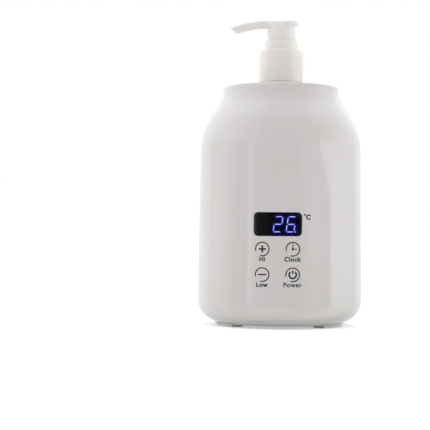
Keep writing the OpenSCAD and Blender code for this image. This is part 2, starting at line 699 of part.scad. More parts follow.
// Bottle
bottle_shoulder = neck_base - bottle_rise;
function bottle_side(r, neck, z, rise, corner) = concat(
    [[0, z]], arc([r - corner, z + corner], corner, -90, 0, 5),
    [for (a = [0:10:90]) [neck + (r - neck) * cos(a), bottle_shoulder + rise * sin(a)]]);
module bottle() color("white") {
    rotate_extrude() polygon(concat(
        bottle_side(bottle_r, neck_r, bottle_z, bottle_rise, bottle_round),
        [[neck_r, land_z], [neck_bore_r, land_z]],
        backwards(bottle_side(bottle_r - bottle_wall, neck_bore_r, bottle_z + bottle_wall,
            bottle_rise - bottle_wall, bottle_round - bottle_wall))));
    thread(neck_r - 0.4, crest_r, neck_thread_z, 1.5, 0.7, thread_turns, thread_pitch);
}
// Ring round the foot of the neck, under the closure
ring_r = closure_r + ring_over;
ring_edge = 0.2;
module neck_ring() color("white") {
    low = neck_base + layer_gap;
    top = closure_z - 2 * play;
    rotate_extrude() polygon([[neck_r + layer_gap, low], [ring_r - ring_edge, low], [ring_r, low + ring_edge],
        [ring_r, top - ring_edge], [ring_r - ring_edge, top], [neck_r + layer_gap, top]]);
}

// Pump
module neck_gasket() color("dimgray") tube(housing_flange_r, neck_bore_r - slide, land_z, flange_low_z);
module pump_housing() color("white") difference() {
    union() {
        at(chamber_z - chamber_wall) cylinder(r = housing_r, h = flange_top_z - chamber_z + chamber_wall);
        at(flange_low_z) cylinder(r = housing_flange_r, h = housing_top - flange_low_z);
        at(socket_top - socket_len)
            cylinder(r = tube_r + socket_wall, h = chamber_z - socket_top + socket_len);
    }
    at(flange_top_z) cylinder(r = housing_rim_in, h = housing_rim_h + eps);
    at(chamber_z) cylinder(r = chamber_r, h = flange_top_z - chamber_z + eps);
    at(seat_top) cylinder(r = ball_bore, h = chamber_z - seat_top + eps);
    at(seat_low) cylinder(r1 = seat_hole, r2 = ball_bore, h = seat_top - seat_low);
    at(socket_top - eps) cylinder(r = seat_hole, h = seat_low - socket_top + 2 * eps);
    at(socket_top - socket_len - eps) cylinder(r = tube_r + layer_gap, h = socket_len + eps);
}
module dip_tube() color("white") tube(tube_r, tube_r - tube_wall, tube_low, socket_top);
module inlet_ball() color("silver") at(ball_z) sphere(r = ball_r);
module ball_cage() color("white") {
    tube(chamber_r - slide, stem_r, chamber_z, chamber_z + cage_t);
    translate([-stem_r - eps, -0.6, chamber_z]) cube([2 * stem_r + 2 * eps, 1.2, cage_t]);
    at(ball_z + ball_r + ball_lift + play) cylinder(r = 0.8,
        h = chamber_z + cage_t / 2 - ball_z - ball_r - ball_lift - play);
}
module pump_spring() color("silver")
    coil(stem_r + 0.8, spring_wire, chamber_z + cage_t + layer_gap, stem_z - layer_gap, spring_turns);
module stem() color("white") difference() {
    union() {
        at(stem_z) cylinder(r = stem_r, h = stem_top - stem_z);
        at(stem_z) cylinder(r = stem_r + 1.6, h = stem_flange_t);
        at(step_top - step_h) cylinder(r = stem_r + 1, h = step_h);
    }
    at(piston_z + 0.2) cylinder(d = stem_bore, h = stem_top - piston_z);
    at(piston_z + 1.1) for (turn = [0, 90]) rotate([0, 90, turn])
        cylinder(r = 0.8, h = stem_d + 2 * eps, center = true);
}
module piston() color("white") {
    tube(stem_r + 1.6, stem_r + slide, piston_z, piston_z + piston_h);
    tube(chamber_r - slide, stem_r + 1.2, piston_z + piston_h / 2 - 0.7, piston_z + piston_h / 2 + 0.7);
    tube(chamber_r - slide, chamber_r - slide - 0.8, piston_z + 0.4, piston_z + piston_h - 0.4);
}
module pump_collar() color("white") difference() {
    union() {
        at(collar_floor) cylinder(r = sleeve_out, h = collar_z - collar_floor + eps);
        at(collar_floor - guide_h) cylinder(r = chamber_r - 0.2, h = guide_h + eps);
        at(collar_z) cylinder(r = collar_r, h = collar_h - 0.5);
        at(collar_top - 0.5) cylinder(r1 = collar_r, r2 = collar_r - 0.5, h = 0.5);
    }
    at(collar_floor + collar_floor_t) cylinder(r = collar_bore, h = collar_top);
    at(collar_floor - guide_h - eps) cylinder(r = stem_r + slide, h = guide_h + collar_floor_t + 2 * eps);
}
module closure() color("white") {
    difference() {
        rotate_extrude() polygon(concat([[0, closure_z], [closure_r - 0.4, closure_z],
            [closure_r, closure_z + 0.4]],
            arc([closure_r - closure_edge, closure_top_z - closure_edge], closure_edge, 0, 90, 6),
            [[0, closure_top_z]]));
        at(closure_z - eps) cylinder(r = closure_bore, h = closure_h - closure_top + eps);
        at(closure_z) cylinder(r = closure_hole, h = closure_h + eps);
    }
    thread(closure_bore + 0.4, neck_r + 0.25, closure_thread_z, 1.4, 0.6, thread_turns, thread_pitch);
}

// Actuator: a loft of rounded sections from the back of the thumb pad to the tip of the spout
crest_x = -pad_reach - 0.5;
dip_x = -1.3;
pad_r = skirt_r - layer_gap;
pad_shift = pad_reach - pad_r;
pad_rise = 1.6;      // the pad's underside rises to the back by this
pad_fall = 0.6;      // the pad's top falls to the back by this
pad_power = 4;       // power of the section's rounding, higher is squarer
spout_power = 2.6;
skirt_over = 2.2;    // the skirt goes on into the pad by this
tip_cut = 1.2;       // slant of the tip, length for height
spout_bore = 1.1;
function along(x) = max(0, (crest_x - x) / (spout_reach + crest_x));
function bend(x) = pow(along(x), 1.5);
function dip(x) = pad_dip * pow(cos(90 * min(1, (x - dip_x) / (dip_x - crest_x))), 2);
function head_top(x) = crest_z - tip_drop * bend(x) - (x > crest_x ? dip(x) : 0)
    - pad_fall * max(0, x / pad_reach);
function head_low(x) = crest_z - spout_t - (tip_drop + tip_t - spout_t) * bend(x)
    + pad_rise * max(0, x / pad_reach);
function head_half(x) = (head_top(x) - head_low(x)) / 2;
function head_mid(x) = [x + tip_cut * pow(along(x), 2) * head_half(x), 0, (head_top(x) + head_low(x)) / 2];
function pad_half(x) = sqrt(max(0, pad_r * pad_r - pow(x - max(0, min(x, pad_shift)), 2)));
function half_width(x) = pow(pow(pad_half(x), 4)
    + pow((spout_w + (tip_w - spout_w) * along(x)) / 2 * min(1, max(0, -x / 6)), 4), 1 / 4);
function close_back(x) = x > 0 ? pow(1 - pow(x / (pad_reach + 0.05), 6), 1 / spout_power) : 1;
function rounding(x) = spout_power + (pad_power - spout_power) * max(0, min(1, (x + pad_r + 3) / 6));
function power(v, p) = sign(v) * pow(abs(v), 2 / p);
function head_section(x) = let (h = head_half(x) * close_back(x), p = rounding(x))
    [for (j = [15:-1:0]) let (y = half_width(x) * power(cos(22.5 * j), p), z = h * power(sin(22.5 * j), p))
        head_mid(x) + [-tip_cut * pow(along(x), 2) * z, y, z]];
head_stations = concat([for (a = [6:12:90]) pad_reach * cos(a)],
    [for (i = [1:22]) -spout_reach * i / 22]);
socket_z = skirt_z + 1.8;
socket_out = stem_r + layer_gap + 1.55;
module spout_channel() {
    at(stem_top) cylinder(r = spout_bore, h = head_mid(0).z - stem_top);
    sweep(tube_rings(concat([for (x = [spout_bore:-3:-spout_reach]) head_mid(x)],
        [2 * head_mid(-spout_reach) - head_mid(3 - spout_reach)]), spout_bore, 8, [0, 1, 0]));
}
module actuator() color("white") difference() {
    union() {
        sweep([for (x = head_stations) head_section(x)]);
        at(skirt_z) cylinder(r = skirt_r, h = skirt_h + skirt_over);
    }
    at(skirt_z - eps) difference() {
        cylinder(r = skirt_r - skirt_wall, h = skirt_h - 0.4 + eps);
        at(socket_z - skirt_z + eps) cylinder(r = socket_out, h = skirt_h);
    }
    at(skirt_z) cylinder(r = stem_r + layer_gap, h = stem_top + layer_gap - skirt_z);
    spout_channel();
}

outer_shell();
base_cover();
cup_cushion();
heater_cup();
cup_seal();
heater_band();
insulation_sleeve();
thermistor();
thermal_fuse();
fuse_clip();
control_board();
board_parts();
lead_connectors();
display_module();
lit_segments();
dark_segments();
display_window();
touch_springs();
board_screws();
base_screws();
power_inlet();
inlet_nut();
power_leads();
sensor_leads();
heater_leads();
bottle();
neck_ring();
neck_gasket();
pump_housing();
dip_tube();
inlet_ball();
ball_cage();
pump_spring();
stem();
piston();
pump_collar();
closure();
actuator();
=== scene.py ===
import math

import bmesh
import bpy
from mathutils import Matrix, Vector
from mathutils.bvhtree import BVHTree


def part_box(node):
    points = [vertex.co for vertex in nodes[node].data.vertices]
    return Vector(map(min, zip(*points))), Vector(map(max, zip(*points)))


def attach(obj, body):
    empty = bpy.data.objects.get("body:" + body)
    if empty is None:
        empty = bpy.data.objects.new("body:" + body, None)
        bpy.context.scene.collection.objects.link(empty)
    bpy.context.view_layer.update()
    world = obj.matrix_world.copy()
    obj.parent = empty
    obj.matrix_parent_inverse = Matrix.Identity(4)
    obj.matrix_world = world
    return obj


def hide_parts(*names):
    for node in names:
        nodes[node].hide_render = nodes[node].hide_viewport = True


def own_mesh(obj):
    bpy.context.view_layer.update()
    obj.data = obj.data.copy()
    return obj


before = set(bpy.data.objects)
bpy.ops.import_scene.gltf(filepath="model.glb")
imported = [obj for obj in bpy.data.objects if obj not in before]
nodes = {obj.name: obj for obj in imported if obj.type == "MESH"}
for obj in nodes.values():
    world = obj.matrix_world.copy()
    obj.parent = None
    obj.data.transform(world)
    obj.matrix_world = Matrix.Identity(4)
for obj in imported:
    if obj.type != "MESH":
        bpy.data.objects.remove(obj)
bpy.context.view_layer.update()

mm = 0.001  # sizes below are written in millimetres
print("frame loaded with", len(nodes), "nodes")


def addObject(name, data):
    made = bpy.data.objects.new(name, data)
    bpy.context.scene.collection.objects.link(made)
    return made


# Camera, from the photograph's frame

photo = {
    "pixels": 430,  # side of the square frame
    "focal": 1344,  # focal length in those pixels
    "distance": 860,  # from the lens to the middle of the body
    "azimuth": 1.4,  # degrees to the right of straight ahead
    "eyeHeight": 57.8,  # above the table
    "axisColumn": 279.95,  # pixel column of the body's axis at eye height
    "horizonRow": 233.6,  # pixel row of the eye height
    "roll": 0.5,  # degrees by which the object leans to the right
    "sensor": 36,  # width of the film
    "nearest": 10,  # nothing closer than this is drawn
}


def makeCamera():
    middle = photo["pixels"] / 2
    azimuth = math.radians(photo["azimuth"])
    yaw = math.atan((photo["axisColumn"] - middle) / photo["focal"])
    pitch = math.atan((photo["horizonRow"] - middle) / photo["focal"])
    data = bpy.data.cameras.new("photoCamera")
    data.sensor_width = photo["sensor"]
    data.lens = photo["focal"] * photo["sensor"] / photo["pixels"]
    data.clip_start = photo["nearest"] * mm
    camera = addObject("photoCamera", data)
    reach = photo["distance"] * mm
    place = Vector((reach * math.sin(azimuth), -reach * math.cos(azimuth), photo["eyeHeight"] * mm))
    camera.matrix_world = (Matrix.Translation(place)
                           @ Matrix.Rotation(azimuth + yaw, 4, "Z")
                           @ Matrix.Rotation(math.pi / 2 + pitch, 4, "X")
                           @ Matrix.Rotation(math.radians(photo["roll"]), 4, "Z"))
    bpy.context.scene.camera = camera


makeCamera()
print("camera placed")


# Materials

def toLinear(colour):  # "#rrggbb" to a linear colour with alpha
    channels = [int(colour[i:i + 2], 16) / 255 for i in (1, 3, 5)]
    return [c / 12.92 if c <= 0.04045 else ((c + 0.055) / 1.055) ** 2.4 for c in channels] + [1]


def perMetre(size):  # texture scale of a pattern whose cells are this many mm wide
    return 1 / (size * mm)


def addNode(tree, kind, settings=None, links=None):
    node = tree.nodes.new("ShaderNode" + kind)
    for key, value in (settings or {}).items():
        if isinstance(key, str) and hasattr(node, key):
            setattr(node, key, value)
        else:
            node.inputs[key].default_value = value
    for key, source in (links or {}).items():
        tree.links.new(source, node.inputs[key])
    return node


def startMaterial(name):
    material = bpy.data.materials.new(name)
    material.use_nodes = True
    material.node_tree.nodes.clear()
    return material, material.node_tree


noiseSpan = {"From Min": 0.3, "From Max": 0.7}  # most values of a noise lie between these


# Mottled colour, uneven gloss and a grain in relief, which every plain finish here has
def makeFinish(name, look, shader):
    material, tree = startMaterial(name)
    place = addNode(tree, "TexCoord").outputs["Object"]
    drawn = addNode(tree, "Mapping", {"Scale": look.get("stretch", (1, 1, 1))}, {"Vector": place})
    tone, cloud, grain = (
        addNode(tree, "TexNoise", {"Scale": perMetre(look[size]), "Detail": detail},
                {"Vector": drawn.outputs[0]}).outputs[0]
        for size, detail in (("toneSize", 3), ("glossSize", 2), ("grainSize", look.get("detail", 2))))
    share, gloss = (
        addNode(tree, "MapRange", dict(noiseSpan, **{"To Min": low, "To Max": high}),
                {"Value": noise}).outputs[0]
        for noise, (low, high) in ((tone, (0, 1)), (cloud, look["rough"])))
    colour = addNode(tree, "Mix", {"data_type": "RGBA", 6: toLinear(look["colours"][0]),
                                   7: toLinear(look["colours"][1])}, {0: share})
    relief = addNode(tree, "Bump", {"Strength": 1, "Distance": look["grainHeight"] * mm}, {"Height": grain})
    surface = addNode(tree, "BsdfPrincipled", shader, {"Base Color": colour.outputs[2], "Roughness": gloss,
                                                       "Normal": relief.outputs[0]})
    addNode(tree, "OutputMaterial", None, {"Surface": surface.outputs[0]})
    return material


# ABS out of a polished mould: clear reflections that waver a little, over an even cool white
polishedAbs = makeFinish("polished moulded ABS", {
    "colours": ("#DFDCDB", "#DCD9D7"), "toneSize": 30,
    "rough": (0.05, 0.08), "glossSize": 14,
    "grainSize": 12, "grainHeight": 0.002, "detail": 1,
}, {"IOR": 1.53})

# Polypropylene: softer, waxy highlights that blur at the edges
mouldedPolypropylene = makeFinish("moulded polypropylene", {
    "colours": ("#F5F1EE", "#F3EFEC"), "toneSize": 8,
    "rough": (0.25, 0.3), "glossSize": 5,
    "grainSize": 1.6, "grainHeight": 0.0015,
}, {"IOR": 1.49})

# Blown polyethylene: milky, see-through towards the light, faint waves from the blow mould
blownPolyethylene = makeFinish("blown polyethylene", {
    "colours": ("#EEEDE9", "#E6E5E0"), "toneSize": 12,
    "rough": (0.3, 0.4), "glossSize": 6,
    "grainSize": 4, "grainHeight": 0.02,
}, {"IOR": 1.54, "Subsurface Weight": 0.4, "Subsurface Radius": (0.004, 0.0036, 0.0032),
    "Subsurface Scale": 1.0})

# Natural polypropylene of inner pump parts: greyer and more see-through than the outside
naturalPolypropylene = makeFinish("natural polypropylene", {
    "colours": ("#E2E3E1", "#D8DAD8"), "toneSize": 5,
    "rough": (0.22, 0.32), "glossSize": 3,
    "grainSize": 1.2, "grainHeight": 0.004,
}, {"IOR": 1.49, "Subsurface Weight": 0.3, "Subsurface Radius": (0.003, 0.003, 0.003),
    "Subsurface Scale": 1.0})

# ABS out of a spark-eroded mould: dull and finely pebbled, drawn at 0.7 mm so that it shows
texturedAbs = makeFinish("spark-textured ABS", {
    "colours": ("#DDDBD8", "#D5D3D0"), "toneSize": 6,
    "rough": (0.5, 0.62), "glossSize": 3,
    "grainSize": 0.7, "grainHeight": 0.03,
}, {"IOR": 1.53})

# Epoxy-filled display face: dead black with a grain so fine that it is drawn at 0.5 mm
displayEpoxy = makeFinish("black display epoxy", {
    "colours": ("#08080A", "#0D0D10"), "toneSize": 4,
    "rough": (0.55, 0.7), "glossSize": 2,
    "grainSize": 0.5, "grainHeight": 0.01,
}, {"IOR": 1.5})

# Pad-printed ink: flat charcoal, thinner in places, where the grey lightens
padPrintInk = makeFinish("pad-printed ink", {
    "colours": ("#1D1A1C", "#2C2829"), "toneSize": 0.6,
    "rough": (0.35, 0.5), "glossSize": 1,
    "grainSize": 0.4, "grainHeight": 0.003,
}, {"IOR": 1.5})

# Drawn aluminium: bright, with fine upright draw lines inside the cup, drawn at 0.5 mm
drawnAluminium = makeFinish("drawn aluminium", {
    "colours": ("#C9CBCD", "#B7BABD"), "toneSize": 3, "stretch": (6, 6, 0.25),
    "rough": (0.22, 0.38), "glossSize": 3,
    "grainSize": 3, "grainHeight": 0.01, "detail": 3,
}, {"Metallic": 1.0})

# Needled ceramic felt: matt off-white fibre, lumpy
ceramicFelt = makeFinish("ceramic fibre felt", {
    "colours": ("#DDD9CF", "#C9C4B8"), "toneSize": 2.5,
    "rough": (0.9, 1.0), "glossSize": 2,
    "grainSize": 1.2, "grainHeight": 0.25, "detail": 4,
}, {"IOR": 1.45, "Sheen Weight": 0.2})

# Silicone rubber: dull grey with a soft dusty bloom
siliconeRubber = makeFinish("silicone rubber", {
    "colours": ("#6B6D6E", "#616364"), "toneSize": 3,
    "rough": (0.55, 0.7), "glossSize": 2,
    "grainSize": 0.6, "grainHeight": 0.01,
}, {"IOR": 1.41, "Sheen Weight": 0.15})

# Moulded epoxy of chips: charcoal, sandy
chipEpoxy = makeFinish("moulded chip epoxy", {
    "colours": ("#1B1B1D", "#242427"), "toneSize": 1.5,
    "rough": (0.45, 0.6), "glossSize": 1,
    "grainSize": 0.3, "grainHeight": 0.01,
}, {"IOR": 1.5})

# Nylon of plugs: ivory, satin
ivoryNylon = makeFinish("ivory nylon", {
    "colours": ("#E9E2CC", "#E0D8C0"), "toneSize": 2,
    "rough": (0.35, 0.45), "glossSize": 1.5,
    "grainSize": 0.5, "grainHeight": 0.006,
}, {"IOR": 1.53, "Subsurface Weight": 0.1, "Subsurface Radius": (0.001, 0.001, 0.0008)})

# Glass-filled nylon of the plug inlet: black, slightly streaky from the fibres
filledNylon = makeFinish("glass-filled nylon", {
    "colours": ("#141415", "#1F1F21"), "toneSize": 2, "stretch": (1, 0.4, 1),
    "rough": (0.38, 0.52), "glossSize": 1.5,
    "grainSize": 0.5, "grainHeight": 0.012,
}, {"IOR": 1.54})

# Spring steel: dark bright wire with lengthwise draw marks
springSteel = makeFinish("spring steel wire", {
    "colours": ("#A9ABAD", "#8E9193"), "toneSize": 0.8,
    "rough": (0.2, 0.34), "glossSize": 0.6,
    "grainSize": 0.3, "grainHeight": 0.003,
}, {"Metallic": 1.0})

# Nickel-plated steel of screws, nut and clip: bright, slightly warm, cloudy in the hollows
nickelSteel = makeFinish("nickel-plated steel", {
    "colours": ("#C6C3BD", "#B3B0AA"), "toneSize": 1.5,
    "rough": (0.2, 0.36), "glossSize": 1,
    "grainSize": 0.4, "grainHeight": 0.004,
}, {"Metallic": 1.0})

# Stamped brass of the sensor's lug: yellow, dulled in patches
stampedBrass = makeFinish("stamped brass", {
    "colours": ("#C8A75A", "#A98B48"), "toneSize": 1.4,
    "rough": (0.26, 0.42), "glossSize": 1,
    "grainSize": 0.5, "grainHeight": 0.005,
}, {"Metallic": 1.0})

# Glazed ceramic of the fuse: cream with fine specks
fuseCeramic = makeFinish("glazed fuse ceramic", {
    "colours": ("#D9CDB4", "#C7B99C"), "toneSize": 0.9,
    "rough": (0.2, 0.32), "glossSize": 1,
    "grainSize": 0.6, "grainHeight": 0.006,
}, {"IOR": 1.6})


def pvcSheath(name, light, dark):  # extruded PVC: satin, with faint rings from the die
    return makeFinish(name, {
        "colours": (light, dark), "toneSize": 3,
        "rough": (0.36, 0.48), "glossSize": 2,
        "grainSize": 0.6, "grainHeight": 0.006,
    }, {"IOR": 1.53})


redPvc = pvcSheath("red PVC sheath", "#B3201F", "#98191A")
blackPvc = pvcSheath("black PVC sheath", "#18181A", "#212124")
whitePvc = pvcSheath("white PVC sheath", "#E4E3DF", "#D8D7D2")


# Etched heater film: amber polyimide over a dark copper track that runs to and fro
def makeHeaterFilm():
    look = {"film": "#B9701E", "track": "#6E3E14", "trackPitch": 5, "trackHeight": 0.02, "rough": 0.3,
            "waver": 0.6, "trackEdge": (0.45, 0.55)}  # the wave's values where film turns into track
    material, tree = startMaterial("etched polyimide film")
    place = addNode(tree, "TexCoord").outputs["Object"]
    turns = perMetre(look["trackPitch"]) * 2 * math.pi / 20  # a wave texture turns by 20 for each unit
    bands = addNode(tree, "TexWave", {"bands_direction": "Z", "Distortion": look["waver"], "Detail": 1,
                                      "Scale": turns}, {"Vector": place})
    edge = addNode(tree, "MapRange", dict(zip(("From Min", "From Max"), look["trackEdge"])),
                   {"Value": bands.outputs[1]})
    colour = addNode(tree, "Mix", {"data_type": "RGBA", 6: toLinear(look["film"]),
                                   7: toLinear(look["track"])}, {0: edge.outputs[0]})
    relief = addNode(tree, "Bump", {"Strength": 1, "Distance": look["trackHeight"] * mm},
                     {"Height": edge.outputs[0]})
    surface = addNode(tree, "BsdfPrincipled", {"Roughness": look["rough"], "IOR": 1.7},
                      {"Base Color": colour.outputs[2], "Normal": relief.outputs[0]})
    addNode(tree, "OutputMaterial", None, {"Surface": surface.outputs[0]})
    return material


# Glass-epoxy circuit board: green solder mask, paler tracks under it
def makeBoard():
    look = {"mask": "#0E4A2A", "track": "#1C6B3E", "rough": 0.34,
            "trackPitch": 2.4, "trackShare": 0.12, "trackHeight": 0.03}
    material, tree = startMaterial("glass-epoxy board")
    place = addNode(tree, "TexCoord").outputs["Object"]
    turned = addNode(tree, "Mapping", {"Rotation": (math.pi / 2, 0, 0)}, {"Vector": place}).outputs[0]
    mask = toLinear(look["mask"])
    tracks = addNode(tree, "TexBrick",
                     {"Scale": perMetre(look["trackPitch"]), "Mortar Size": look["trackShare"],
                      "Color1": mask, "Color2": mask, "Mortar": toLinear(look["track"])},
                     {"Vector": turned})
    relief = addNode(tree, "Bump", {"Strength": 1, "Distance": look["trackHeight"] * mm},
                     {"Height": tracks.outputs[1]})
    surface = addNode(tree, "BsdfPrincipled", {"Roughness": look["rough"], "IOR": 1.55},
                      {"Base Color": tracks.outputs[0], "Normal": relief.outputs[0]})
    addNode(tree, "OutputMaterial", None, {"Surface": surface.outputs[0]})
    return material


# Smoked acrylic: nearly black and glossy, passes only what glows behind it
def makeSmokedAcrylic():
    look = {"tint": "#100F10", "opaque": 0.72, "rough": 0.06, "waveSize": 12, "waveHeight": 0.002}
    material, tree = startMaterial("smoked acrylic")
    place = addNode(tree, "TexCoord").outputs["Object"]
    wave = addNode(tree, "TexNoise", {"Scale": perMetre(look["waveSize"]), "Detail": 1}, {"Vector": place})
    relief = addNode(tree, "Bump", {"Strength": 1, "Distance": look["waveHeight"] * mm},
                     {"Height": wave.outputs[0]})
    surface = addNode(tree, "BsdfPrincipled", {"Base Color": toLinear(look["tint"]), "IOR": 1.49,
                                               "Roughness": look["rough"], "Alpha": look["opaque"]},
                      {"Normal": relief.outputs[0]})
    addNode(tree, "OutputMaterial", None, {"Surface": surface.outputs[0]})
    return material


# Diffuser of a lit segment: blue at its sides, blue-white along its middle, uneven where the chips sit
def makeLitDiffuser():
    look = {"middle": "#A9BDFF", "side": "#2F3CFF", "base": "#DDE3F5", "rough": 0.5,
            "spotSize": 2.4, "spotSpan": (0.35, 0.65), "spotLeast": 0.75,  # least share between the chips
            "power": (3.5, 25)}
    material, tree = startMaterial("lit blue diffuser")
    place = addNode(tree, "TexCoord").outputs["Object"]
    core = addNode(tree, "Attribute", {"attribute_name": "core"}).outputs["Fac"]
    spots = addNode(tree, "TexNoise", {"Scale": perMetre(look["spotSize"]), "Detail": 1}, {"Vector": place})
    span = dict(zip(("From Min", "From Max", "To Min"), look["spotSpan"] + (look["spotLeast"],)))
    uneven = addNode(tree, "MapRange", span, {"Value": spots.outputs[0]})
    share = addNode(tree, "Math", {"operation": "MULTIPLY"}, {0: core, 1: uneven.outputs[0]}).outputs[0]
    colour = addNode(tree, "Mix", {"data_type": "RGBA", 6: toLinear(look["side"]),
                                   7: toLinear(look["middle"])}, {0: share})
    power = addNode(tree, "MapRange", dict(zip(("To Min", "To Max"), look["power"])), {"Value": share})
    surface = addNode(tree, "BsdfPrincipled",
                      {"Base Color": toLinear(look["base"]), "Roughness": look["rough"]},
                      {"Emission Color": colour.outputs[2], "Emission Strength": power.outputs[0]})
    addNode(tree, "OutputMaterial", None, {"Surface": surface.outputs[0]})
    return material


# Diffuser of a dark segment: smoky grey, barely lighter than the face round it
unlitDiffuser = makeFinish("unlit diffuser", {
    "colours": ("#1C1D21", "#23242A"), "toneSize": 1.5,
    "rough": (0.45, 0.6), "glossSize": 1,
    "grainSize": 0.4, "grainHeight": 0.004,
}, {"IOR": 1.5})

heaterFilm = makeHeaterFilm()
glassEpoxyBoard = makeBoard()
smokedAcrylic = makeSmokedAcrylic()
litDiffuser = makeLitDiffuser()
print("materials made:", len(bpy.data.materials))


# Mesh helpers

def onArc(centre, radius, degrees):
    turn = math.radians(degrees)
    return (centre[0] + radius * math.cos(turn), centre[1] + radius * math.sin(turn))


def arc(centre, radius, start, end, steps):
    return [onArc(centre, radius, start + (end - start) * i / steps) for i in range(steps + 1)]


# Arc that rounds the corner at r and z, where start is -90 for a low outer corner,
# 0 for a high outer one, 90 for a high inner one and 180 for a low inner one
def roundCorner(r, z, edge, start, steps):
    turn = math.radians(start + 45)
    centre = (r - math.copysign(edge, math.cos(turn)), z - math.copysign(edge, math.sin(turn)))
    return arc(centre, edge, start, start + 90, steps)


def between(a, b, share):
    return tuple(p + (q - p) * share for p, q in zip(a, b))


# Quads between rings of vertices, with flat ends where asked
def joinRings(mesh, rings, closed=True, ends=False):
    for low, high in zip(rings, rings[1:]):
        count = len(low)
        for j in range(count if closed else count - 1):
            k = (j + 1) % count
            mesh.faces.new((low[j], low[k], high[k], high[j]))
    if ends:
        mesh.faces.new(rings[0])
        mesh.faces.new(rings[-1])


def ringAt(mesh, points):  # vertices from points in mm
    return [mesh.verts.new(Vector(p) * mm) for p in points]


def roundTurn(count):  # cosine and sine of evenly spaced angles
    turns = [2 * math.pi * j / count for j in range(count)]
    return [(math.cos(t), math.sin(t)) for t in turns]


def circlePoints(radius, z, columns):
    return [(radius * c, radius * s, z) for c, s in roundTurn(columns)]


def capRing(mesh, ring):  # closes a ring with a fan
    middle = mesh.verts.new(sum((v.co for v in ring), Vector()) / len(ring))
    for j, vertex in enumerate(ring):
        mesh.faces.new((vertex, ring[(j + 1) % len(ring)], middle))


# Turns a profile about the axis; solid if it starts and ends beside it
def revolve(mesh, profile, columns, solid=False):
    rings = [ringAt(mesh, circlePoints(r, z, columns)) for r, z in profile]
    joinRings(mesh, rings)
    if solid:
        capRing(mesh, rings[0])
        capRing(mesh, rings[-1])
    else:
        joinRings(mesh, [rings[-1], rings[0]])


# Helical thread from z upwards, which runs out over this share of its length at each end
def sweepRidge(mesh, ridge, z, perTurn=72, runOut=0.125, least=0.05):
    steps = round(ridge["turns"] * perTurn)
    rings = []
    for i in range(steps + 1):
        turn = 2 * math.pi * ridge["turns"] * i / steps
        fade = min(1, i / steps / runOut, (steps - i) / steps / runOut)
        crest = ridge["root"] + (ridge["crest"] - ridge["root"]) * max(least, fade)
        height = z + ridge["pitch"] * turn / (2 * math.pi)
        section = [(ridge["root"], -ridge["base"] / 2), (ridge["root"], ridge["base"] / 2),
                   (crest, ridge["top"] / 2), (crest, -ridge["top"] / 2)]
        rings.append(ringAt(mesh, [(r * math.cos(turn), r * math.sin(turn), height + up)
                                   for r, up in section]))
    joinRings(mesh, rings, ends=True)


def finishPiece(name, mesh, material, body, stands=(), sharp=32, recalculate=True):
    if recalculate:
        bmesh.ops.recalc_face_normals(mesh, faces=mesh.faces)
    data = bpy.data.meshes.new(name)
    mesh.to_mesh(data)
    mesh.free()
    data.shade_smooth()
    data.set_sharp_from_angle(angle=math.radians(sharp))
    data.materials.append(material)
    piece = addObject(name, data)
    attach(piece, body)
    if stands:
        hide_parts(*stands)
    return piece


# Shell: the turned body with a window in front and a plug hole at the back

shell = {
    "bodyRadius": round(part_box("outer_shell")[1].x / mm, 1),
    "height": round(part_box("outer_shell")[1].z / mm, 1),
    "footHeight": 1.8,  # lowest point of the rounded foot
    "footRound": 15.0,
    "draft": 0.78,  # degrees
    "shoulderRound": 45.0,
    "shoulderFlat": 5.5,
    "neckRound": 21.0,
    "neckLean": 6.6,  # degrees
    "neckLength": 2.8,
    "rimEdge": 1.2,
    "wall": 2.4,
    "baseInset": 11.0,  # from the outside to the opening in the bottom
    "openingGap": 1.8,  # room round the bottle
    "rimLand": 4.6,  # width of the rim
    "columns": 288,
    "footRows": 16, "wallRows": 44, "shoulderRows": 26, "neckRows": 14,
}
footCentre = (shell["bodyRadius"] - shell["footRound"], shell["footHeight"] + shell["footRound"])
baseRadius = shell["bodyRadius"] - shell["baseInset"]
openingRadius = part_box("bottle")[1].x / mm + shell["openingGap"]
rimRadius = openingRadius + shell["rimLand"]


def wallRadius(z, inset=0):  # radius of the leaning wall, or of the foot below it
    reach = shell["footRound"] - inset
    draft = math.radians(shell["draft"])
    if z < footCentre[1] + reach * math.sin(draft):
        return footCentre[0] + math.sqrt(reach ** 2 - (z - footCentre[1]) ** 2)
    return footCentre[0] + reach / math.cos(draft) - (z - footCentre[1]) * math.tan(draft)


def solveSlope():  # lean at which shoulder, flat and neck together reach from wall to rim
    draft, neckLean = math.radians(shell["draft"]), math.radians(shell["neckLean"])
    lean = math.tan(draft)
    arcs = shell["shoulderRound"] + shell["neckRound"]
    p = arcs + lean * shell["shoulderFlat"]
    q = shell["shoulderFlat"] - lean * arcs
    c = (shell["shoulderRound"] * (math.cos(draft) + lean * math.sin(draft))
         + shell["neckRound"] * (math.cos(neckLean) + lean * math.sin(neckLean))
         + shell["neckLength"] * (math.sin(neckLean) - lean * math.cos(neckLean)))
    return math.acos((c - wallRadius(shell["height"]) + rimRadius) / math.hypot(p, q)) - math.atan2(q, p)


slope = solveSlope()
neckLean = math.radians(shell["neckLean"])
shoulderZ = (shell["height"]
             - shell["shoulderRound"] * (math.sin(slope) - math.sin(math.radians(shell["draft"])))
             - shell["shoulderFlat"] * math.cos(slope)
             - shell["neckRound"] * (math.sin(slope) - math.sin(neckLean))
             - shell["neckLength"] * math.cos(neckLean))
shoulderCentre = onArc((wallRadius(shoulderZ), shoulderZ), -shell["shoulderRound"], shell["draft"])
neckCentre = (
    rimRadius + shell["neckLength"] * math.sin(neckLean) + shell["neckRound"] * math.cos(neckLean),
    shell["height"] - shell["neckLength"] * math.cos(neckLean) + shell["neckRound"] * math.sin(neckLean))
lipZ = shell["height"] - shell["wall"]
neckInside = rimRadius + shell["wall"] * math.tan(neckLean) - shell["wall"] / math.cos(neckLean)


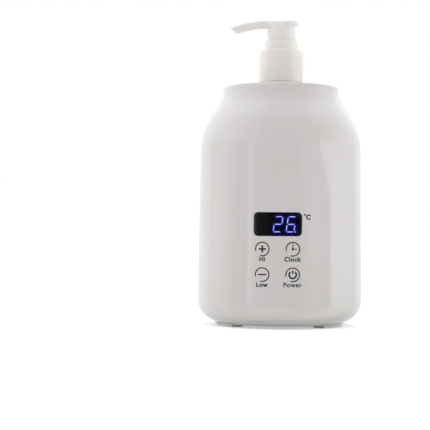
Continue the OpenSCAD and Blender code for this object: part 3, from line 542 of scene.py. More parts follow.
def bodyOutline(inset):  # foot, wall, shoulder and neck, this far inside the outer surface
    foot, shoulder = shell["footRound"] - inset, shell["shoulderRound"] - inset
    low = onArc(footCentre, foot, shell["draft"])
    high = onArc(shoulderCentre, shoulder, shell["draft"])
    start = -math.degrees(math.acos((baseRadius - footCentre[0]) / foot))
    rows = shell["wallRows"]
    return (arc(footCentre, foot, start, shell["draft"], shell["footRows"])
            + [between(low, high, i / rows) for i in range(1, rows)]
            + arc(shoulderCentre, shoulder, shell["draft"], math.degrees(slope), shell["shoulderRows"])
            + arc(neckCentre, shell["neckRound"] + inset, 180 + math.degrees(slope),
                  180 + shell["neckLean"], shell["neckRows"]))


def onWall(x, z, inset, facing):  # point of the wall in front (facing -1) or at the back (facing 1)
    return (x, facing * math.sqrt(wallRadius(z, inset) ** 2 - x ** 2), z)


def roundedContour(width, height, corner, counts):  # counts of points along its width and its height
    points = []
    for side in range(4):
        span, out = (width, height / 2) if side % 2 == 0 else (height, width / 2)
        straight = span - 2 * corner
        length = straight + corner * math.pi / 2
        for i in range(counts[side % 2]):
            s = length * i / counts[side % 2] - length / 2
            bend = max(0, abs(s) - straight / 2) / corner
            along = math.copysign(min(abs(s), straight / 2) + corner * math.sin(bend), s)
            reach = out - corner * (1 - math.cos(bend))
            points.append([(along, -reach), (reach, along), (-along, reach), (-reach, -along)][side])
    return points


def holeContour(hole, grow, counts, side=1):  # rounded outline of a hole, wider by grow all round
    plan = roundedContour(hole["width"] + 2 * grow, hole["height"] + 2 * grow,
                          hole["corner"] + grow, counts)
    return [(side * x, hole["z"] + z) for x, z in plan]


def edgeSteps(edge, steps=4):  # how far a rounded edge still stands out, and how far it has sunk
    turns = [math.pi / 2 * k / steps for k in range(steps + 1)]
    return [(edge * (1 - math.sin(t)), edge * (1 - math.cos(t))) for t in turns]


window = {
    "width": 29.1, "height": 14.4, "corner": 2.6, "z": 63.8,
    "edge": 0.3,  # rounding of the cut edge
    "columns": 17, "margin": 5.5,  # how far the mesh round the cut is rearranged
    "facing": -1,
}
plugHole = {
    "width": 13.0, "height": 13.0, "corner": 6.5, "z": 21.0,
    "edge": 0.4,
    "columns": 9, "margin": 3.2,
    "facing": 1,
}
patchRings = (0.35, 0.7)  # rings of the rearranged mesh, by their share of the way to the hole


def cutHole(mesh, rings, outline, hole):  # replaces a patch of the wall by a hole through it
    columns, last = shell["columns"], len(rings) - 1
    middle = round(columns * (0.5 - hole["facing"] / 4))  # a quarter of a turn before or after half
    left, right = middle - hole["columns"], middle + hole["columns"]
    reach = hole["height"] / 2 + hole["margin"]
    inside = [i for i, p in enumerate(outline) if abs(p[1] - hole["z"]) < reach]
    low, high = inside[0], inside[-1]
    counts = (right - left, high - low)
    border = ([(low, j) for j in range(left, right)] + [(i, right) for i in range(low, high)]
              + [(high, j) for j in range(right, left, -1)] + [(i, left) for i in range(high, low, -1)])
    for i in range(low, high):
        for j in range(left, right):
            for a, b in ((i, i + 1), (last - i, last - i - 1)):
                corner = {rings[a][j], rings[a][j + 1], rings[b][j], rings[b][j + 1]}
                face = next(f for f in rings[a][j].link_faces if set(f.verts) == corner)
                bmesh.ops.delete(mesh, geom=[face], context="FACES_ONLY")
    for i in range(low + 1, high):
        for j in range(left + 1, right):
            mesh.verts.remove(rings[i][j])
            mesh.verts.remove(rings[last - i][j])

    def contour(grow):
        return holeContour(hole, grow, counts, -hole["facing"])

    def wallRing(points, inset, sunk=0.0):
        places = [onWall(x, z, inset, hole["facing"]) for x, z in points]
        return ringAt(mesh, [(x, y - hole["facing"] * sunk, z) for x, y, z in places])

    def spread(inset, grid):  # rings from the border of the patch to the edge of the hole
        edge = contour(hole["edge"])
        away = [(v.co.x / mm, v.co.z / mm) for v in grid]
        return [grid] + [wallRing([between(a, e, share) for a, e in zip(away, edge)], inset)
                         for share in patchRings]

    outer = spread(0, [rings[i][j] for i, j in border])
    outer += [wallRing(contour(out), 0, sunk) for out, sunk in edgeSteps(hole["edge"])]
    inner = spread(shell["wall"], [rings[last - i][j] for i, j in border])
    joinRings(mesh, outer + [wallRing(contour(0), shell["wall"])] + inner[::-1])


def makeShell():
    mesh = bmesh.new()
    outline = bodyOutline(0)
    edge = shell["rimEdge"]
    rim = arc((rimRadius - edge / math.tan(math.pi / 4 + neckLean / 2), shell["height"] - edge), edge,
              shell["neckLean"], 90, 8)
    mouth = roundCorner(openingRadius, shell["height"], edge / 2, 90, 6)
    profile = (outline + rim + mouth + [(openingRadius, lipZ), (neckInside, lipZ)]
               + bodyOutline(shell["wall"])[::-1])
    rings = [ringAt(mesh, circlePoints(r, z, shell["columns"])) for r, z in profile]
    joinRings(mesh, rings + [rings[0]])
    cutHole(mesh, rings, outline, window)
    cutHole(mesh, rings, outline, plugHole)
    finishPiece("warmer_shell", mesh, polishedAbs, "warmer", ["outer_shell"])


makeShell()
print("shell turned and cut")


# Display: the lens that fills the window, and what glows behind it

lens = {
    "fit": 0.1,  # gap round the lens
    "sunk": 0.06,  # its face lies this far below the shell
    "edge": 0.25,
    "lip": 1.8,  # flange behind the window
    "back": -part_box("display_window")[1].y / mm,
    "lipThickness": 1.0,
    "faceRings": (0.15, 0.4, 0.65, 0.85),  # rings of the face, by their share of the way to its edge
    "counts": (40, 22),  # points along its width and its height
}


def makeLens():
    mesh = bmesh.new()

    def contour(grow):
        return holeContour(window, grow, lens["counts"])

    def faceRing(points, depth):
        return ringAt(mesh, [(x, onWall(x, z, 0, -1)[1] + depth, z) for x, z in points])

    face = contour(-lens["fit"] - lens["edge"])
    middle = (0, window["z"])
    rings = [faceRing([between(middle, p, share) for p in face], lens["sunk"])
             for share in lens["faceRings"]]
    rings += [faceRing(contour(-lens["fit"] - out), lens["sunk"] + sunk)
              for out, sunk in edgeSteps(lens["edge"])]
    seat = lens["back"] + lens["lipThickness"]
    for grow, depth in ((-lens["fit"], seat), (lens["lip"], seat), (lens["lip"], lens["back"])):
        rings.append(ringAt(mesh, [(x, -depth, z) for x, z in contour(grow)]))
    joinRings(mesh, rings, ends=True)
    finishPiece("window_lens", mesh, smokedAcrylic, "warmer", ["display_window"])


def paintField(piece, name, level):  # keeps a level for each vertex, which its material reads
    field = piece.data.attributes.new(name, "FLOAT", "POINT")
    for vertex, value in zip(piece.data.vertices, field.data):
        value.value = level(vertex.co)


# Painted glow: blue emission on the display face round the lit segments, standing in for the halo of their
# light that the lens spreads
paintedGlow = {
    "colour": "#3434FF", "power": 0.9,  # close to a segment
    "fade": 0.8,  # distance over which it drops to a third
    "face": "#08080A", "rough": 0.6,
    "cell": 0.3,  # mesh size
    "lift": 0.02, "bed": 0.01,  # in front of the display module and into it
    "margin": 0.05,  # from the module's edge
}


def makePaintedGlowMaterial():
    material, tree = startMaterial("display face epoxy with painted glow")
    glow = addNode(tree, "Attribute", {"attribute_name": "glow"})
    # painted glow: the black face emits blue by its glow field, though it is no lamp
    power = addNode(tree, "Math", {"operation": "MULTIPLY", 1: paintedGlow["power"]}, {0: glow.outputs["Fac"]})
    surface = addNode(tree, "BsdfPrincipled",
                      {"Base Color": toLinear(paintedGlow["face"]), "Roughness": paintedGlow["rough"],
                       "Emission Color": toLinear(paintedGlow["colour"])},
                      {"Emission Strength": power.outputs[0]})
    addNode(tree, "OutputMaterial", None, {"Surface": surface.outputs[0]})
    return material


def makeDisplayFace():
    low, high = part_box("display_module")
    front = low.y - paintedGlow["lift"] * mm
    columns, rows = (round(d / paintedGlow["cell"] / mm) for d in (high.x - low.x, high.z - low.z))
    mesh = bmesh.new()
    margin = paintedGlow["margin"] * mm
    grid = [[mesh.verts.new((low.x + margin + (high.x - low.x - 2 * margin) * i / columns, front,
                             low.z + margin + (high.z - low.z - 2 * margin) * j / rows))
             for i in range(columns + 1)] for j in range(rows + 1)]
    joinRings(mesh, grid, closed=False)
    rim = grid[0] + [row[-1] for row in grid[1:]] + grid[-1][-2::-1] + [row[0] for row in grid[-2:0:-1]]
    back = [mesh.verts.new((v.co.x, low.y + paintedGlow["bed"] * mm, v.co.z)) for v in rim]
    joinRings(mesh, [rim, back])
    mesh.faces.new(back)
    piece = finishPiece("display_face_painted_glow", mesh, makePaintedGlowMaterial(), "warmer")
    lit = nodes["lit_segments"]
    tree = BVHTree.FromPolygons([lit.matrix_world @ v.co for v in lit.data.vertices],
                                [p.vertices for p in lit.data.polygons])
    # painted glow, strongest next to a lit segment and fading away from it
    paintField(piece, "glow", lambda at: math.exp(-tree.find_nearest(at)[3] / (paintedGlow["fade"] * mm)))


# Lit bars, cut fine so that each can glow along its middle
litBars = {
    "cuts": 7,  # along each edge
    "half": 0.45,  # of a bar's width
    "facing": 0.5,  # a face that looks forwards by less than this is one of a bar's sides
}


def makeLitBars():
    packed = nodes["lit_segments"]
    mesh = bmesh.new()
    mesh.from_mesh(packed.data)
    mesh.transform(packed.matrix_world)
    mesh.normal_update()
    around = [[v.index for v in f.verts] for f in mesh.faces if abs(f.normal.y) < litBars["facing"]]
    sides = BVHTree.FromPolygons([v.co.copy() for v in mesh.verts], around)
    bmesh.ops.subdivide_edges(mesh, edges=mesh.edges[:], cuts=litBars["cuts"], use_grid_fill=True)
    bmesh.ops.triangulate(mesh, faces=mesh.faces)
    piece = finishPiece("lit_bars", mesh, litDiffuser, "warmer", ["lit_segments"])
    paintField(piece, "core", lambda at: min(1, sides.find_nearest(at)[3] / (litBars["half"] * mm)))


makeLens()
makeDisplayFace()
makeLitBars()
print("lens fitted")


# Print on the shell: key symbols, their words and the unit beside the window

keyPrint = {
    "columns": (-9.2, 9.2),
    "rows": (48.8, 33.4),
    "ringRadius": 4.08, "ringLine": 0.7, "ringGap": (196, 252),  # the ring is open at the lower left
    "boldLine": 1.05, "barShare": 0.85,  # a single bar is this share of the bold line
    "thinLine": 0.58, "clockDot": 0.75,
    "plusReach": 2.1, "minusReach": 2.5,
    "clockHands": (3.1, 2.4),  # up and right
    "powerRadius": 2.15, "powerGap": (52, 128), "powerBar": (0.45, 2.7),
    "wordDrop": 6.05, "capHeight": 2.85,
    "words": (("Hi", "Clock"), ("Low", "Power")),
    "weight": 0.04, "letterSpace": 1.1,
    "openWeight": 0.028,  # for a word with an e, which closes up if it is any heavier
    "unit": (18.3, 68.2), "unitHeight": 3.1, "unitWeight": 0.05,
    "degreeAt": (16.2, 69.6), "degreeRadius": 0.4, "degreeLine": 0.4,
    "lift": 0.02, "thickness": 0.06,
    "bandStep": 5, "barStep": 0.5,  # mesh size, in degrees and in mm
    "bandLeast": 8, "barLeast": 2,  # steps of the shortest
    "letterSteps": 6, "weld": 0.001,
}


def printBand(mesh, centre, radius, line, start, end):  # part of a ring
    steps = max(keyPrint["bandLeast"], round(abs(end - start) / keyPrint["bandStep"]))
    rings = [arc(centre, radius + side * line / 2, start, end, steps) for side in (-1, 1)]
    grid = [ringAt(mesh, [onWall(x, z, -keyPrint["lift"], -1) for x, z in ring]) for ring in rings]
    joinRings(mesh, grid, closed=False)


def printBar(mesh, start, end, line):  # straight stroke
    run = Vector(end) - Vector(start)
    side = Vector((-run.y, run.x)).normalized() * line / 2
    steps = max(keyPrint["barLeast"], round(run.length / keyPrint["barStep"]))
    grid = [ringAt(mesh, [onWall(*(Vector(start) + run * i / steps + sign * side), -keyPrint["lift"], -1)
                          for i in range(steps + 1)]) for sign in (-1, 1)]
    joinRings(mesh, grid, closed=False)


def textMesh(text, bolder):
    curve = bpy.data.curves.new("word", "FONT")
    curve.body = text
    curve.align_x = "CENTER"
    curve.align_y = "CENTER"
    curve.offset = bolder
    curve.space_character = keyPrint["letterSpace"]
    curve.resolution_u = keyPrint["letterSteps"]
    holder = addObject("word", curve)
    flat = bpy.data.meshes.new_from_object(holder.evaluated_get(bpy.context.evaluated_depsgraph_get()))
    bpy.data.objects.remove(holder)
    return flat


def printWord(mesh, text, centre, capHeight, bolder):
    flat, capital = textMesh(text, bolder), textMesh("H", bolder)
    heights = [v.co.y for v in capital.vertices]
    scale = capHeight / (max(heights) - min(heights))
    across = [v.co.x for v in flat.vertices]
    shift = (max(across) + min(across)) / 2
    base = min(heights)
    points = [onWall(centre[0] + (v.co.x - shift) * scale,
                     centre[1] + (v.co.y - base) * scale - capHeight / 2,
                     -keyPrint["lift"], -1) for v in flat.vertices]
    corners = ringAt(mesh, points)
    for face in flat.polygons:
        mesh.faces.new([corners[i] for i in face.vertices])


def printKey(mesh, symbol, x, z):
    bold, thin = keyPrint["boldLine"], keyPrint["thinLine"]
    bar = bold * keyPrint["barShare"]
    printBand(mesh, (x, z), keyPrint["ringRadius"], keyPrint["ringLine"],
              keyPrint["ringGap"][1] - 360, keyPrint["ringGap"][0])
    if symbol == "plus":
        reach = keyPrint["plusReach"]
        printBar(mesh, (x - reach, z), (x + reach, z), bold)
        printBar(mesh, (x, z + bold / 2), (x, z + reach), bold)
        printBar(mesh, (x, z - reach), (x, z - bold / 2), bold)
    elif symbol == "minus":
        printBar(mesh, (x - keyPrint["minusReach"], z), (x + keyPrint["minusReach"], z), bar)
    elif symbol == "clock":
        up, right = keyPrint["clockHands"]
        dot = keyPrint["clockDot"]
        printBand(mesh, (x, z), dot / 2, dot, 0, 360)
        printBar(mesh, (x, z + dot), (x, z + up), thin)
        printBar(mesh, (x + dot, z), (x + right, z), thin)
    else:
        printBand(mesh, (x, z), keyPrint["powerRadius"], bold, keyPrint["powerGap"][1] - 360,
                  keyPrint["powerGap"][0])
        printBar(mesh, (x, z + keyPrint["powerBar"][0]), (x, z + keyPrint["powerBar"][1]), bar)


def makePrint():
    mesh = bmesh.new()
    symbols = (("plus", "clock"), ("minus", "power"))
    for z, rowSymbols, rowWords in zip(keyPrint["rows"], symbols, keyPrint["words"]):
        for x, symbol, word in zip(keyPrint["columns"], rowSymbols, rowWords):
            printKey(mesh, symbol, x, z)
            bolder = keyPrint["openWeight"] if "e" in word else keyPrint["weight"]
            printWord(mesh, word, (x, z - keyPrint["wordDrop"]), keyPrint["capHeight"], bolder)
    printWord(mesh, "C", keyPrint["unit"], keyPrint["unitHeight"], keyPrint["unitWeight"])
    printBand(mesh, keyPrint["degreeAt"], keyPrint["degreeRadius"], keyPrint["degreeLine"], 0, 360)
    bmesh.ops.remove_doubles(mesh, verts=mesh.verts, dist=keyPrint["weld"] * mm)
    mesh.normal_update()
    for face in mesh.faces:
        if face.normal.y > 0:
            face.normal_flip()
    piece = finishPiece("key_print", mesh, padPrintInk, "warmer", recalculate=False)
    body = piece.modifiers.new("ink film", "SOLIDIFY")
    body.thickness = keyPrint["thickness"] * mm
    body.offset = -1


makePrint()
print("keys printed")


# Bottle with its threaded neck

bottle = {
    "radius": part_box("bottle")[1].x / mm,
    "bottom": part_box("bottle")[0].z / mm,
    "mouth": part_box("bottle")[1].z / mm,
    "wall": 1.2,
    "corner": 3.0,
    "neckRadius": 10.7, "neckBore": 9.0, "neckBase": 153.6, "rise": 11.6,
    "lip": 0.4,  # rounding of the mouth
    "dent": 1.6, "dentReach": 0.75,  # hollow in the middle of the floor, and its share of the radius
    "floorRings": (0.1, 0.4, 0.6), "domeStep": 5,  # mesh, by shares of the radius and by degrees
    "columns": 128,
}
neckThread = {"root": 10.5, "crest": 11.85, "base": 1.5, "top": 0.7, "turns": 1.5, "pitch": 3.175,
              "below": 2.1}  # from the mouth to the thread's end
threadStart = bottle["mouth"] - neckThread["below"] - neckThread["turns"] * neckThread["pitch"]


def bottleSide(radius, neck, bottom, rise, corner):
    shoulder = bottle["neckBase"] - bottle["rise"]
    turns = [math.radians(a) for a in range(0, 91, bottle["domeStep"])]
    dome = [(neck + (radius - neck) * math.cos(t), shoulder + rise * math.sin(t)) for t in turns]
    return roundCorner(radius, bottom, corner, -90, 8) + dome


def makeBottle():
    mesh = bmesh.new()
    wall, mouth, lip = bottle["wall"], bottle["mouth"], bottle["lip"]
    outside = bottleSide(bottle["radius"], bottle["neckRadius"], bottle["bottom"],
                         bottle["rise"], bottle["corner"])
    inside = bottleSide(bottle["radius"] - wall, bottle["neckBore"], bottle["bottom"] + wall,
                        bottle["rise"] - wall, bottle["corner"] - wall)
    finish = (roundCorner(bottle["neckRadius"], mouth, lip, 0, 4)
              + roundCorner(bottle["neckBore"], mouth, lip, 90, 4))
    dent = [(bottle["radius"] * s, bottle["bottom"] + bottle["dent"] * (1 - (s / bottle["dentReach"]) ** 2))
            for s in bottle["floorRings"]]
    floor = [(r, z + wall) for r, z in dent[::-1]]
    revolve(mesh, dent + outside + finish + inside[::-1] + floor, bottle["columns"], solid=True)
    sweepRidge(mesh, neckThread, threadStart)
    finishPiece("oil_bottle", mesh, blownPolyethylene, "oil_bottle", ["bottle"])


# Ring round the foot of the neck
neckRing = {
    "radius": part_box("neck_ring")[1].x / mm,
    "low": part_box("neck_ring")[0].z / mm,
    "top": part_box("neck_ring")[1].z / mm,
    "bore": 10.75, "edge": 0.25,
    "columns": 128,
}


def makeNeckRing():
    mesh = bmesh.new()
    r, low, top, edge = (neckRing[key] for key in ("radius", "low", "top", "edge"))
    profile = ([(neckRing["bore"], low)] + roundCorner(r, low, edge, -90, 5)
               + roundCorner(r, top, edge, 0, 5) + [(neckRing["bore"], top)])
    revolve(mesh, profile, neckRing["columns"])
    finishPiece("bottle_neck_ring", mesh, mouldedPolypropylene, "oil_bottle", ["neck_ring"])


makeBottle()
makeNeckRing()
print("bottle blown")


# Pump: closure, collar, head and spring

closure = {
    "radius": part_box("closure")[1].x / mm,
    "bottom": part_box("closure")[0].z / mm,
    "top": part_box("closure")[1].z / mm,
    "bore": 12.15, "hole": 10.4, "topThickness": 1.6,
    "edge": 1.4, "lowEdge": 0.4, "holeEdge": 0.2,
    "columns": 128,
}
closureThread = dict(neckThread, root=12.35, crest=10.95, base=1.4, top=0.6)


def makeClosure():
    mesh = bmesh.new()
    r, low, top, edge = closure["radius"], closure["bottom"], closure["top"], closure["edge"]
    soft, fine = closure["lowEdge"], closure["holeEdge"]
    ceiling = top - closure["topThickness"]
    profile = (roundCorner(r, low, soft, -90, 5)
               + roundCorner(r, top, edge, 0, 10)
               + roundCorner(closure["hole"], top, fine, 90, 3)
               + [(closure["hole"], ceiling), (closure["bore"], ceiling)]
               + roundCorner(closure["bore"], low, soft, 180, 4))
    revolve(mesh, profile, closure["columns"])
    sweepRidge(mesh, closureThread, threadStart - closureThread["pitch"] / 2)
    finishPiece("screw_closure", mesh, mouldedPolypropylene, "screw_cap", ["closure"])


collar = {
    "radius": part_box("pump_collar")[1].x / mm,
    "top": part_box("pump_collar")[1].z / mm,
    "low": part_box("pump_collar")[0].z / mm,
    "bore": 9.25, "sleeve": 10.2, "height": 5.9, "floor": 0.95, "guide": 1.95, "guideRadius": 6.2,
    "stemHole": 3.1, "edge": 0.55, "bead": 0.45, "boreEdge": 0.25,
    "columns": 96,
}


def makeCollar():
    mesh = bmesh.new()
    r, top, edge, bead = collar["radius"], collar["top"], collar["edge"], collar["bead"]
    fine = collar["boreEdge"]
    shelf = top - collar["height"]
    floorLow = collar["low"] + collar["guide"]
    profile = ([(collar["stemHole"], collar["low"]), (collar["guideRadius"], collar["low"]),
                (collar["guideRadius"], floorLow), (collar["sleeve"], floorLow), (collar["sleeve"], shelf)]
               + roundCorner(r, shelf, bead, -90, 5)
               + roundCorner(r, top, edge, 0, 6)
               + roundCorner(collar["bore"], top, fine, 90, 3)
               + [(collar["bore"], floorLow + collar["floor"]),
                  (collar["stemHole"], floorLow + collar["floor"])])
    revolve(mesh, profile, collar["columns"])
    finishPiece("pump_collar_ring", mesh, mouldedPolypropylene, "pump_engine",
                ["pump_collar"])


head = {
    "crest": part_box("actuator")[1].z / mm,
    "reach": -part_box("actuator")[0].x / mm,
    "padReach": 10.7, "padDip": 1.05, "padRise": 1.6, "padFall": 0.6, "dipX": -1.3, "crestX": -11.2,
    "spoutThick": 5.1, "tipThick": 3.6, "spoutWidth": 9.2, "tipWidth": 8.0, "tipDrop": 4.6,
    "topBend": 1.75, "lowBend": 1.5,  # how late the spout's top and underside turn down
    "tipCut": 1.2,  # slant of the tip, length for height
    "padPower": 4.0, "spoutPower": 2.6,  # rounding of the sections, higher is squarer
    "backPower": 14,  # rounding of the pad's back edge
    "backAngles": (2, 6, 10, 15, 20, 26, 32, 40, 48, 57, 66, 75, 84),  # where its sections lie
    "slack": 0.05,  # keeps the pad inside the skirt's outline and its last section open
    "squareFrom": 3, "growFrom": 6,  # lengths over which spout and pad pass into each other
    "skirtRadius": 8.95, "skirtWall": 1.05, "skirtBottom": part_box("actuator")[0].z / mm,
    "skirtOver": 2.2,  # the skirt goes on into the pad by this
    "skirtEdge": 0.3, "skirtRoof": 0.4, "skirtColumns": 96,
    "socketRadius": 4.6, "stemRadius": 3.05, "socketRise": 1.8,
    "fillet": 0.5,  # under the spout's root
    "nozzle": 1.1, "nozzleDepth": 9.0, "tipRound": 0.12,
    "stations": 72, "sides": 64,
}


def headAlong(x):  # 0 at the crest over the spout's root, 1 at the tip
    return max(0, (head["crestX"] - x) / (head["reach"] + head["crestX"]))


def headTop(x):
    top = head["crest"] - head["tipDrop"] * headAlong(x) ** head["topBend"]
    if x <= head["crestX"]:
        return top
    share = min(1, (x - head["dipX"]) / (head["dipX"] - head["crestX"]))
    return (top - head["padDip"] * math.cos(math.pi / 2 * share) ** 2
            - head["padFall"] * max(0, x / head["padReach"]))


def headLow(x):
    fall = (head["tipDrop"] + head["tipThick"] - head["spoutThick"]) * headAlong(x) ** head["lowBend"]
    near = max(0, (x + head["skirtRadius"] + head["fillet"]) / head["fillet"])
    swell = 1 - math.sqrt(1 - near ** 2) if near < 1 else max(0, 2 - near)
    return (head["crest"] - head["spoutThick"] - fall - head["fillet"] * swell
            + head["padRise"] * max(0, x / head["padReach"]))


def headMiddle(x):  # middle of the section, moved back where the tip is slanted
    half = (headTop(x) - headLow(x)) / 2
    cut = head["tipCut"] * headAlong(x) ** 2
    return Vector((x + cut * half, 0, headLow(x) + half)), half, cut


def headHalfWidth(x):
    spout = (head["spoutWidth"] + (head["tipWidth"] - head["spoutWidth"]) * headAlong(x)) / 2
    pad = head["skirtRadius"] - head["slack"]
    away = x - max(0, min(x, head["padReach"] - pad))
    grown = spout * min(1, max(0, -x / head["growFrom"]))
    return (max(0, pad ** 2 - away ** 2) ** 2 + grown ** 4) ** 0.25


def headSection(x):  # rounded section of the head at x, slanted towards the tip
    square = max(0, min(1, (x + head["skirtRadius"] + head["squareFrom"]) / (2 * head["squareFrom"])))
    power = 2 / (head["spoutPower"] + (head["padPower"] - head["spoutPower"]) * square)
    middle, half, cut = headMiddle(x)
    if x > 0:
        back = x / (head["padReach"] + head["slack"])
        half *= (1 - back ** head["backPower"]) ** (1 / head["spoutPower"])
    wide = headHalfWidth(x)
    points = []
    for c, s in roundTurn(head["sides"]):
        y = wide * math.copysign(abs(c) ** power, c)
        z = half * math.copysign(abs(s) ** power, s)
        points.append(middle + Vector((-cut * z, y, z)))
    return points


def makeHead():
    mesh = bmesh.new()
    back = [head["padReach"] * math.cos(math.radians(a)) for a in head["backAngles"]]
    spout = [-head["reach"] * i / head["stations"] for i in range(head["stations"] + 1)]
    rings = [ringAt(mesh, headSection(x)) for x in back + spout]
    capRing(mesh, rings[0])
    tip = headSection(-head["reach"])
    middle, _, cut = headMiddle(-head["reach"])
    bore = [middle + head["nozzle"] * Vector((-cut * s, c, s)) for c, s in roundTurn(head["sides"])]
    inward = headMiddle(head["nozzleDepth"] - head["reach"])[0] - middle
    lip = [between(p, b, head["tipRound"]) for p, b in zip(tip, bore)]
    rings += [ringAt(mesh, points) for points in (lip, bore, [p + inward for p in bore])]
    joinRings(mesh, rings)
    capRing(mesh, rings[-1])
    r, low, wall, edge = head["skirtRadius"], head["skirtBottom"], head["skirtWall"], head["skirtEdge"]
    root = head["crest"] - head["spoutThick"]
    ceiling, top = root - head["skirtRoof"], root + head["skirtOver"]
    profile = (roundCorner(r, low, edge, -90, 4) + roundCorner(r, top, edge, 0, 3)
               + [(head["stemRadius"], top), (head["stemRadius"], low + head["socketRise"]),
                  (head["socketRadius"], low + head["socketRise"]), (head["socketRadius"], ceiling),
                  (r - wall, ceiling), (r - wall, low)])
    revolve(mesh, profile, head["skirtColumns"])
    finishPiece("pump_head_spout", mesh, mouldedPolypropylene, "pump_head",
                ["actuator"], sharp=40)


pumpCoil = {
    "low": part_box("pump_spring")[0].z / mm,
    "high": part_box("pump_spring")[1].z / mm,
    "radius": 3.8, "wire": 0.8, "turns": 6, "perTurn": 36, "sides": 12,
    "pressed": 0.48,  # share of its length at the end of the stroke
}


def makeCoil():
    mesh = bmesh.new()
    wire = pumpCoil["wire"] / 2
    low, high = pumpCoil["low"] + wire, pumpCoil["high"] - wire
    steps = pumpCoil["turns"] * pumpCoil["perTurn"]
    rings = []
    for i in range(steps + 1):
        turn = 2 * math.pi * i / pumpCoil["perTurn"]
        out = Vector((math.cos(turn), math.sin(turn), 0))
        middle = out * pumpCoil["radius"] + Vector((0, 0, low + (high - low) * i / steps))
        rings.append(ringAt(mesh, [middle + out * wire * c + Vector((0, 0, wire * s))
                                   for c, s in roundTurn(pumpCoil["sides"])]))
    joinRings(mesh, rings, ends=True)
    coil = finishPiece("pump_coil", mesh, springSteel, "pump_engine", ["pump_spring"])
    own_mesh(coil)


makeClosure()
makeCollar()
makeHead()
makeCoil()
print("pump assembled")


# Heater cup: a deep-drawn well with a rounded floor and flange

cup = {
    "bottom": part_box("heater_cup")[0].z / mm,
    "top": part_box("heater_cup")[1].z / mm,
    "flange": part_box("heater_cup")[1].x / mm,
    "gap": 1.0,  # room round the bottle
    "wall": 1.0, "corner": 2.2, "bend": 0.5,
    "hub": 0.5, "flat": 6,  # innermost ring of the floor, and the ring this far inside its corner
    "columns": 128,
}
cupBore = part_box("bottle")[1].x / mm + cup["gap"]


def makeCup():
    mesh = bmesh.new()
    bore, wall, corner = cupBore, cup["wall"], cup["corner"]
    outer, bend, hub, flat = bore + wall, cup["bend"], cup["hub"], cup["flat"]
    low, top = cup["bottom"], cup["top"]
    profile = ([(hub, low), (outer - corner - flat, low)]
               + roundCorner(outer, low, corner, -90, 8)
               + [(outer, top - wall), (cup["flange"] - wall / 2, top - wall)]
               + arc((cup["flange"] - wall / 2, top - wall / 2), wall / 2, -90, 90, 6)
               + roundCorner(bore, top, bend, 90, 5)
               + arc((bore - corner + wall, low + corner), corner - wall, 0, -90, 8)
               + [(bore - corner - flat, low + wall), (hub, low + wall)])
    revolve(mesh, profile, cup["columns"], solid=True)
    finishPiece("heater_well", mesh, drawnAluminium, "warmer", ["heater_cup"])


makeCup()
print("heater cup drawn")


# Plug inlet at the back: a moulded body, with a pin and two tabs of metal

inlet = {
    "face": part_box("power_inlet")[1].y / mm,
    "end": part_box("power_inlet")[0].y / mm,
    "flange": 6.2, "flangeThickness": 1.0, "barrel": 4.8, "bore": 2.85, "depth": 9.5, "edge": 0.35,
    "hub": 0.3,  # innermost ring of the flat ends
    "pin": 1.0, "pinLength": 8.0, "pinSunk": 0.2, "pinHub": 0.2, "pinRound": 0.6, "pinColumns": 32,
    "tabX": 2.4, "tabWidth": 1.8, "tabThickness": 0.8, "tabLength": 4.0,
    "columns": 72,
}


def turnToBack(mesh, depth):  # lays what was turned about Z along +Y, this far behind the axis
    place = Matrix.Translation(Vector((0, depth, plugHole["z"])) * mm)
    mesh.transform(place @ Matrix.Rotation(-math.pi / 2, 4, "X"))


def makeInlet():
    start = inlet["end"] + inlet["tabLength"]
    length, depth, edge = inlet["face"] - start, inlet["depth"], inlet["edge"]
    flange, bore, barrel = inlet["flange"], inlet["bore"], inlet["barrel"]
    step, hub = length - inlet["flangeThickness"], inlet["hub"]
    mesh = bmesh.new()
    profile = ([(hub, 0), (barrel, 0), (barrel, step), (flange, step)]
               + roundCorner(flange, length, edge, 0, 5)
               + roundCorner(bore, length, edge, 90, 5)
               + [(bore, length - depth), (hub, length - depth)])
    revolve(mesh, profile, inlet["columns"], solid=True)
    turnToBack(mesh, start)
    finishPiece("plug_inlet", mesh, filledNylon, "warmer", ["power_inlet"])
    mesh = bmesh.new()
    pin, floor = inlet["pin"], length - depth - inlet["pinSunk"]
    top, hub, edge = floor + inlet["pinLength"], inlet["pinHub"], pin * inlet["pinRound"]
    profile = [(hub, floor), (pin, floor)] + roundCorner(pin, top, edge, 0, 4) + [(hub, top)]
    revolve(mesh, profile, inlet["pinColumns"], solid=True)
    sizes = Vector((inlet["tabWidth"], inlet["tabThickness"], inlet["tabLength"])) * mm
    for side in (-1, 1):
        place = Vector((side * inlet["tabX"], 0, -inlet["tabLength"] / 2)) * mm
        bmesh.ops.create_cube(mesh, size=1, matrix=Matrix.LocRotScale(place, None, sizes))
    turnToBack(mesh, start)
    finishPiece("inlet_contacts", mesh, nickelSteel, "warmer")


makeInlet()
print("inlet fitted")


